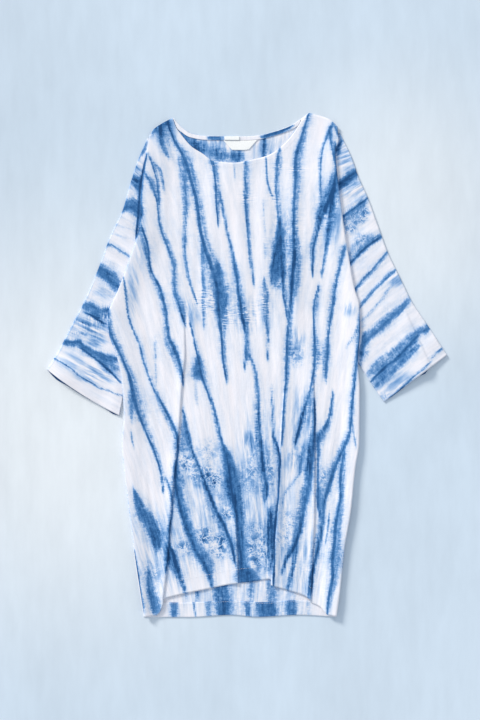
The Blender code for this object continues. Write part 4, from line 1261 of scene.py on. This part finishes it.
def stitchTree():
    tree = bpy.data.node_groups.new("stitchRow", "GeometryNodeTree")
    for name, kind, value in (("Geometry", "Geometry", None),
                              ("Length", "Float", stitch["length"] * 0.001),
                              ("Pitch", "Float", stitch["pitch"] * 0.001),
                              ("Thickness", "Float", stitch["thick"] * 0.001),
                              ("Seed", "Int", stitch["seed"]), ("Thread", "Material", None)):
        socket = tree.interface.new_socket(name, in_out="INPUT", socket_type="NodeSocket" + kind)
        if value is not None:
            socket.default_value = value
    tree.interface.new_socket("Geometry", in_out="OUTPUT", socket_type="NodeSocketGeometry")
    start = addNode(tree, "NodeGroupInput").outputs
    end = addNode(tree, "NodeGroupOutput").inputs

    points = addNode(tree, "GeometryNodeCurveToPoints", mode="LENGTH", Curve=start["Geometry"],
                     Length=start["Pitch"])
    ball = addNode(tree, "GeometryNodeMeshUVSphere", Segments=6, Rings=5, Radius=0.5)
    size = addNode(tree, "CombineXYZ", X=start["Length"], Y=start["Thickness"],
                   Z=start["Thickness"])
    thread = addNode(tree, "GeometryNodeTransform", Geometry=ball.outputs["Mesh"],
                     Scale=size.outputs[0])
    turn = addNode(tree, "FunctionNodeAlignRotationToVector", axis="X",
                   Vector=points.outputs["Tangent"])
    uneven = addNode(tree, "FunctionNodeRandomValue", data_type="FLOAT_VECTOR",
                     Min=tuple(-v for v in stitch["tilt"]), Max=stitch["tilt"],
                     Seed=start["Seed"])
    tilt = addNode(tree, "FunctionNodeEulerToRotation", Euler=uneven.outputs[0])
    both = addNode(tree, "FunctionNodeRotateRotation", Rotation=turn.outputs[0],
                   **{"Rotate By": tilt.outputs[0]})
    placed = addNode(tree, "GeometryNodeInstanceOnPoints", Points=points.outputs["Points"],
                     Instance=thread.outputs[0], Rotation=both.outputs[0])
    real = addNode(tree, "GeometryNodeRealizeInstances", Geometry=placed.outputs[0])
    coloured = addNode(tree, "GeometryNodeSetMaterial", Geometry=real.outputs[0],
                       Material=start["Thread"])
    feed(tree, coloured.outputs[0], end[0])
    return tree, socket.identifier  # the last input takes the thread's material


stitchRule, threadSocket = stitchTree()


def makeStitches(name, paths):
    data = bpy.data.curves.new(name + "Path", "CURVE")
    data.dimensions = "3D"
    for path in paths:
        spline = data.splines.new("POLY")
        spline.points.add(len(path) - 1)
        for point, place in zip(spline.points, path):
            point.co = (*[float(v) * 0.001 for v in place], 1)
    guide = newObject(name + "Path", data)
    rule = guide.modifiers.new("stitches", "NODES")
    rule.node_group = stitchRule
    rule[threadSocket] = threadFinish
    bpy.context.view_layer.update()
    seen = guide.evaluated_get(bpy.context.evaluated_depsgraph_get())
    mesh = bpy.data.meshes.new_from_object(seen)
    mesh.name = name
    guide.modifiers.remove(rule)
    bpy.data.objects.remove(guide)
    mesh.shade_smooth()
    print("piece:", name, sum(len(face.vertices) - 2 for face in mesh.polygons), "triangles")
    return newObject(name, mesh)


def pathOn(grid, columns, wanted, lift):  # across the grid's columns, at the y that is wanted
    path = []
    for c in columns:
        x, y, z = grid[::-1, c, 0], grid[::-1, c, 1], grid[::-1, c, 2]
        place = y[-1]
        for _ in range(6):
            place = float(wanted(np.interp(place, y, x)))
        if y[0] < place < y[-1]:
            path.append((np.interp(place, y, x), place, np.interp(place, y, z) + lift))
    return path


lift = body["wall"] / 2 + stitch["above"]
hemLine = curve(hemFront)
frontInner = range(rollPoints + 2, frontShape.shape[1] - rollPoints - 2)


def belowNeck(x):
    slope = float(neckFrontLine(x + 1) - neckFrontLine(x - 1)) / 2
    return float(neckFrontLine(x)) - stitch["neckInset"] * math.hypot(1, slope)


def aboveHem(x):
    return float(hemLine(x)) + stitch["hemDepth"]


def within(path, ends):
    return [place for place in path if ends[0] < place[0] < ends[1]]


neckPath = within(pathOn(frontShape, frontInner, belowNeck, lift), stitch["neckEnds"])
hemPath = pathOn(frontShape, frontInner, aboveHem, lift)
stitchesFront = makeStitches(
    "stitchesFront", [neckPath] + [within(hemPath, ends) for ends in stitch["hemEnds"]])
turnUpPath = [(x, y, z + lift) for x, y, z in backShape[stitch["turnUpRow"]]]
stitchesBack = makeStitches("stitchesBack", [within(turnUpPath, stitch["turnUpEnds"])])


def cuffPath(grid):
    upper = grid[:, len(sleeve["lower"]) + sleeve["foldSteps"]:-2]
    row = int(np.argmin(np.abs(np.linalg.norm(upper[:, 0] - upper[-1, 0], axis=1)
                               - stitch["cuffDepth"])))
    return [(x, y, z + lift) for x, y, z in upper[row, ::2]]


stitchesLeft = makeStitches("stitchesLeft", [cuffPath(leftShape)])
stitchesRight = makeStitches("stitchesRight", [cuffPath(rightShape)])
print("stage: stitches")


# How the pieces stand for the solids

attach(front, "root")
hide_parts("front")
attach(back, "root")
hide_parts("back")
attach(sleeveLeft, "root")
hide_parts("sleeve_left")
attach(sleeveRight, "root")
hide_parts("sleeve_right")
for thread in (stitchesFront, stitchesBack, stitchesLeft, stitchesRight):
    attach(thread, "root")
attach(facing, "root")
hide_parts("neck_facing_back")
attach(label, "root")
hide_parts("label")
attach(tab, "root")
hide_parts("size_tab")
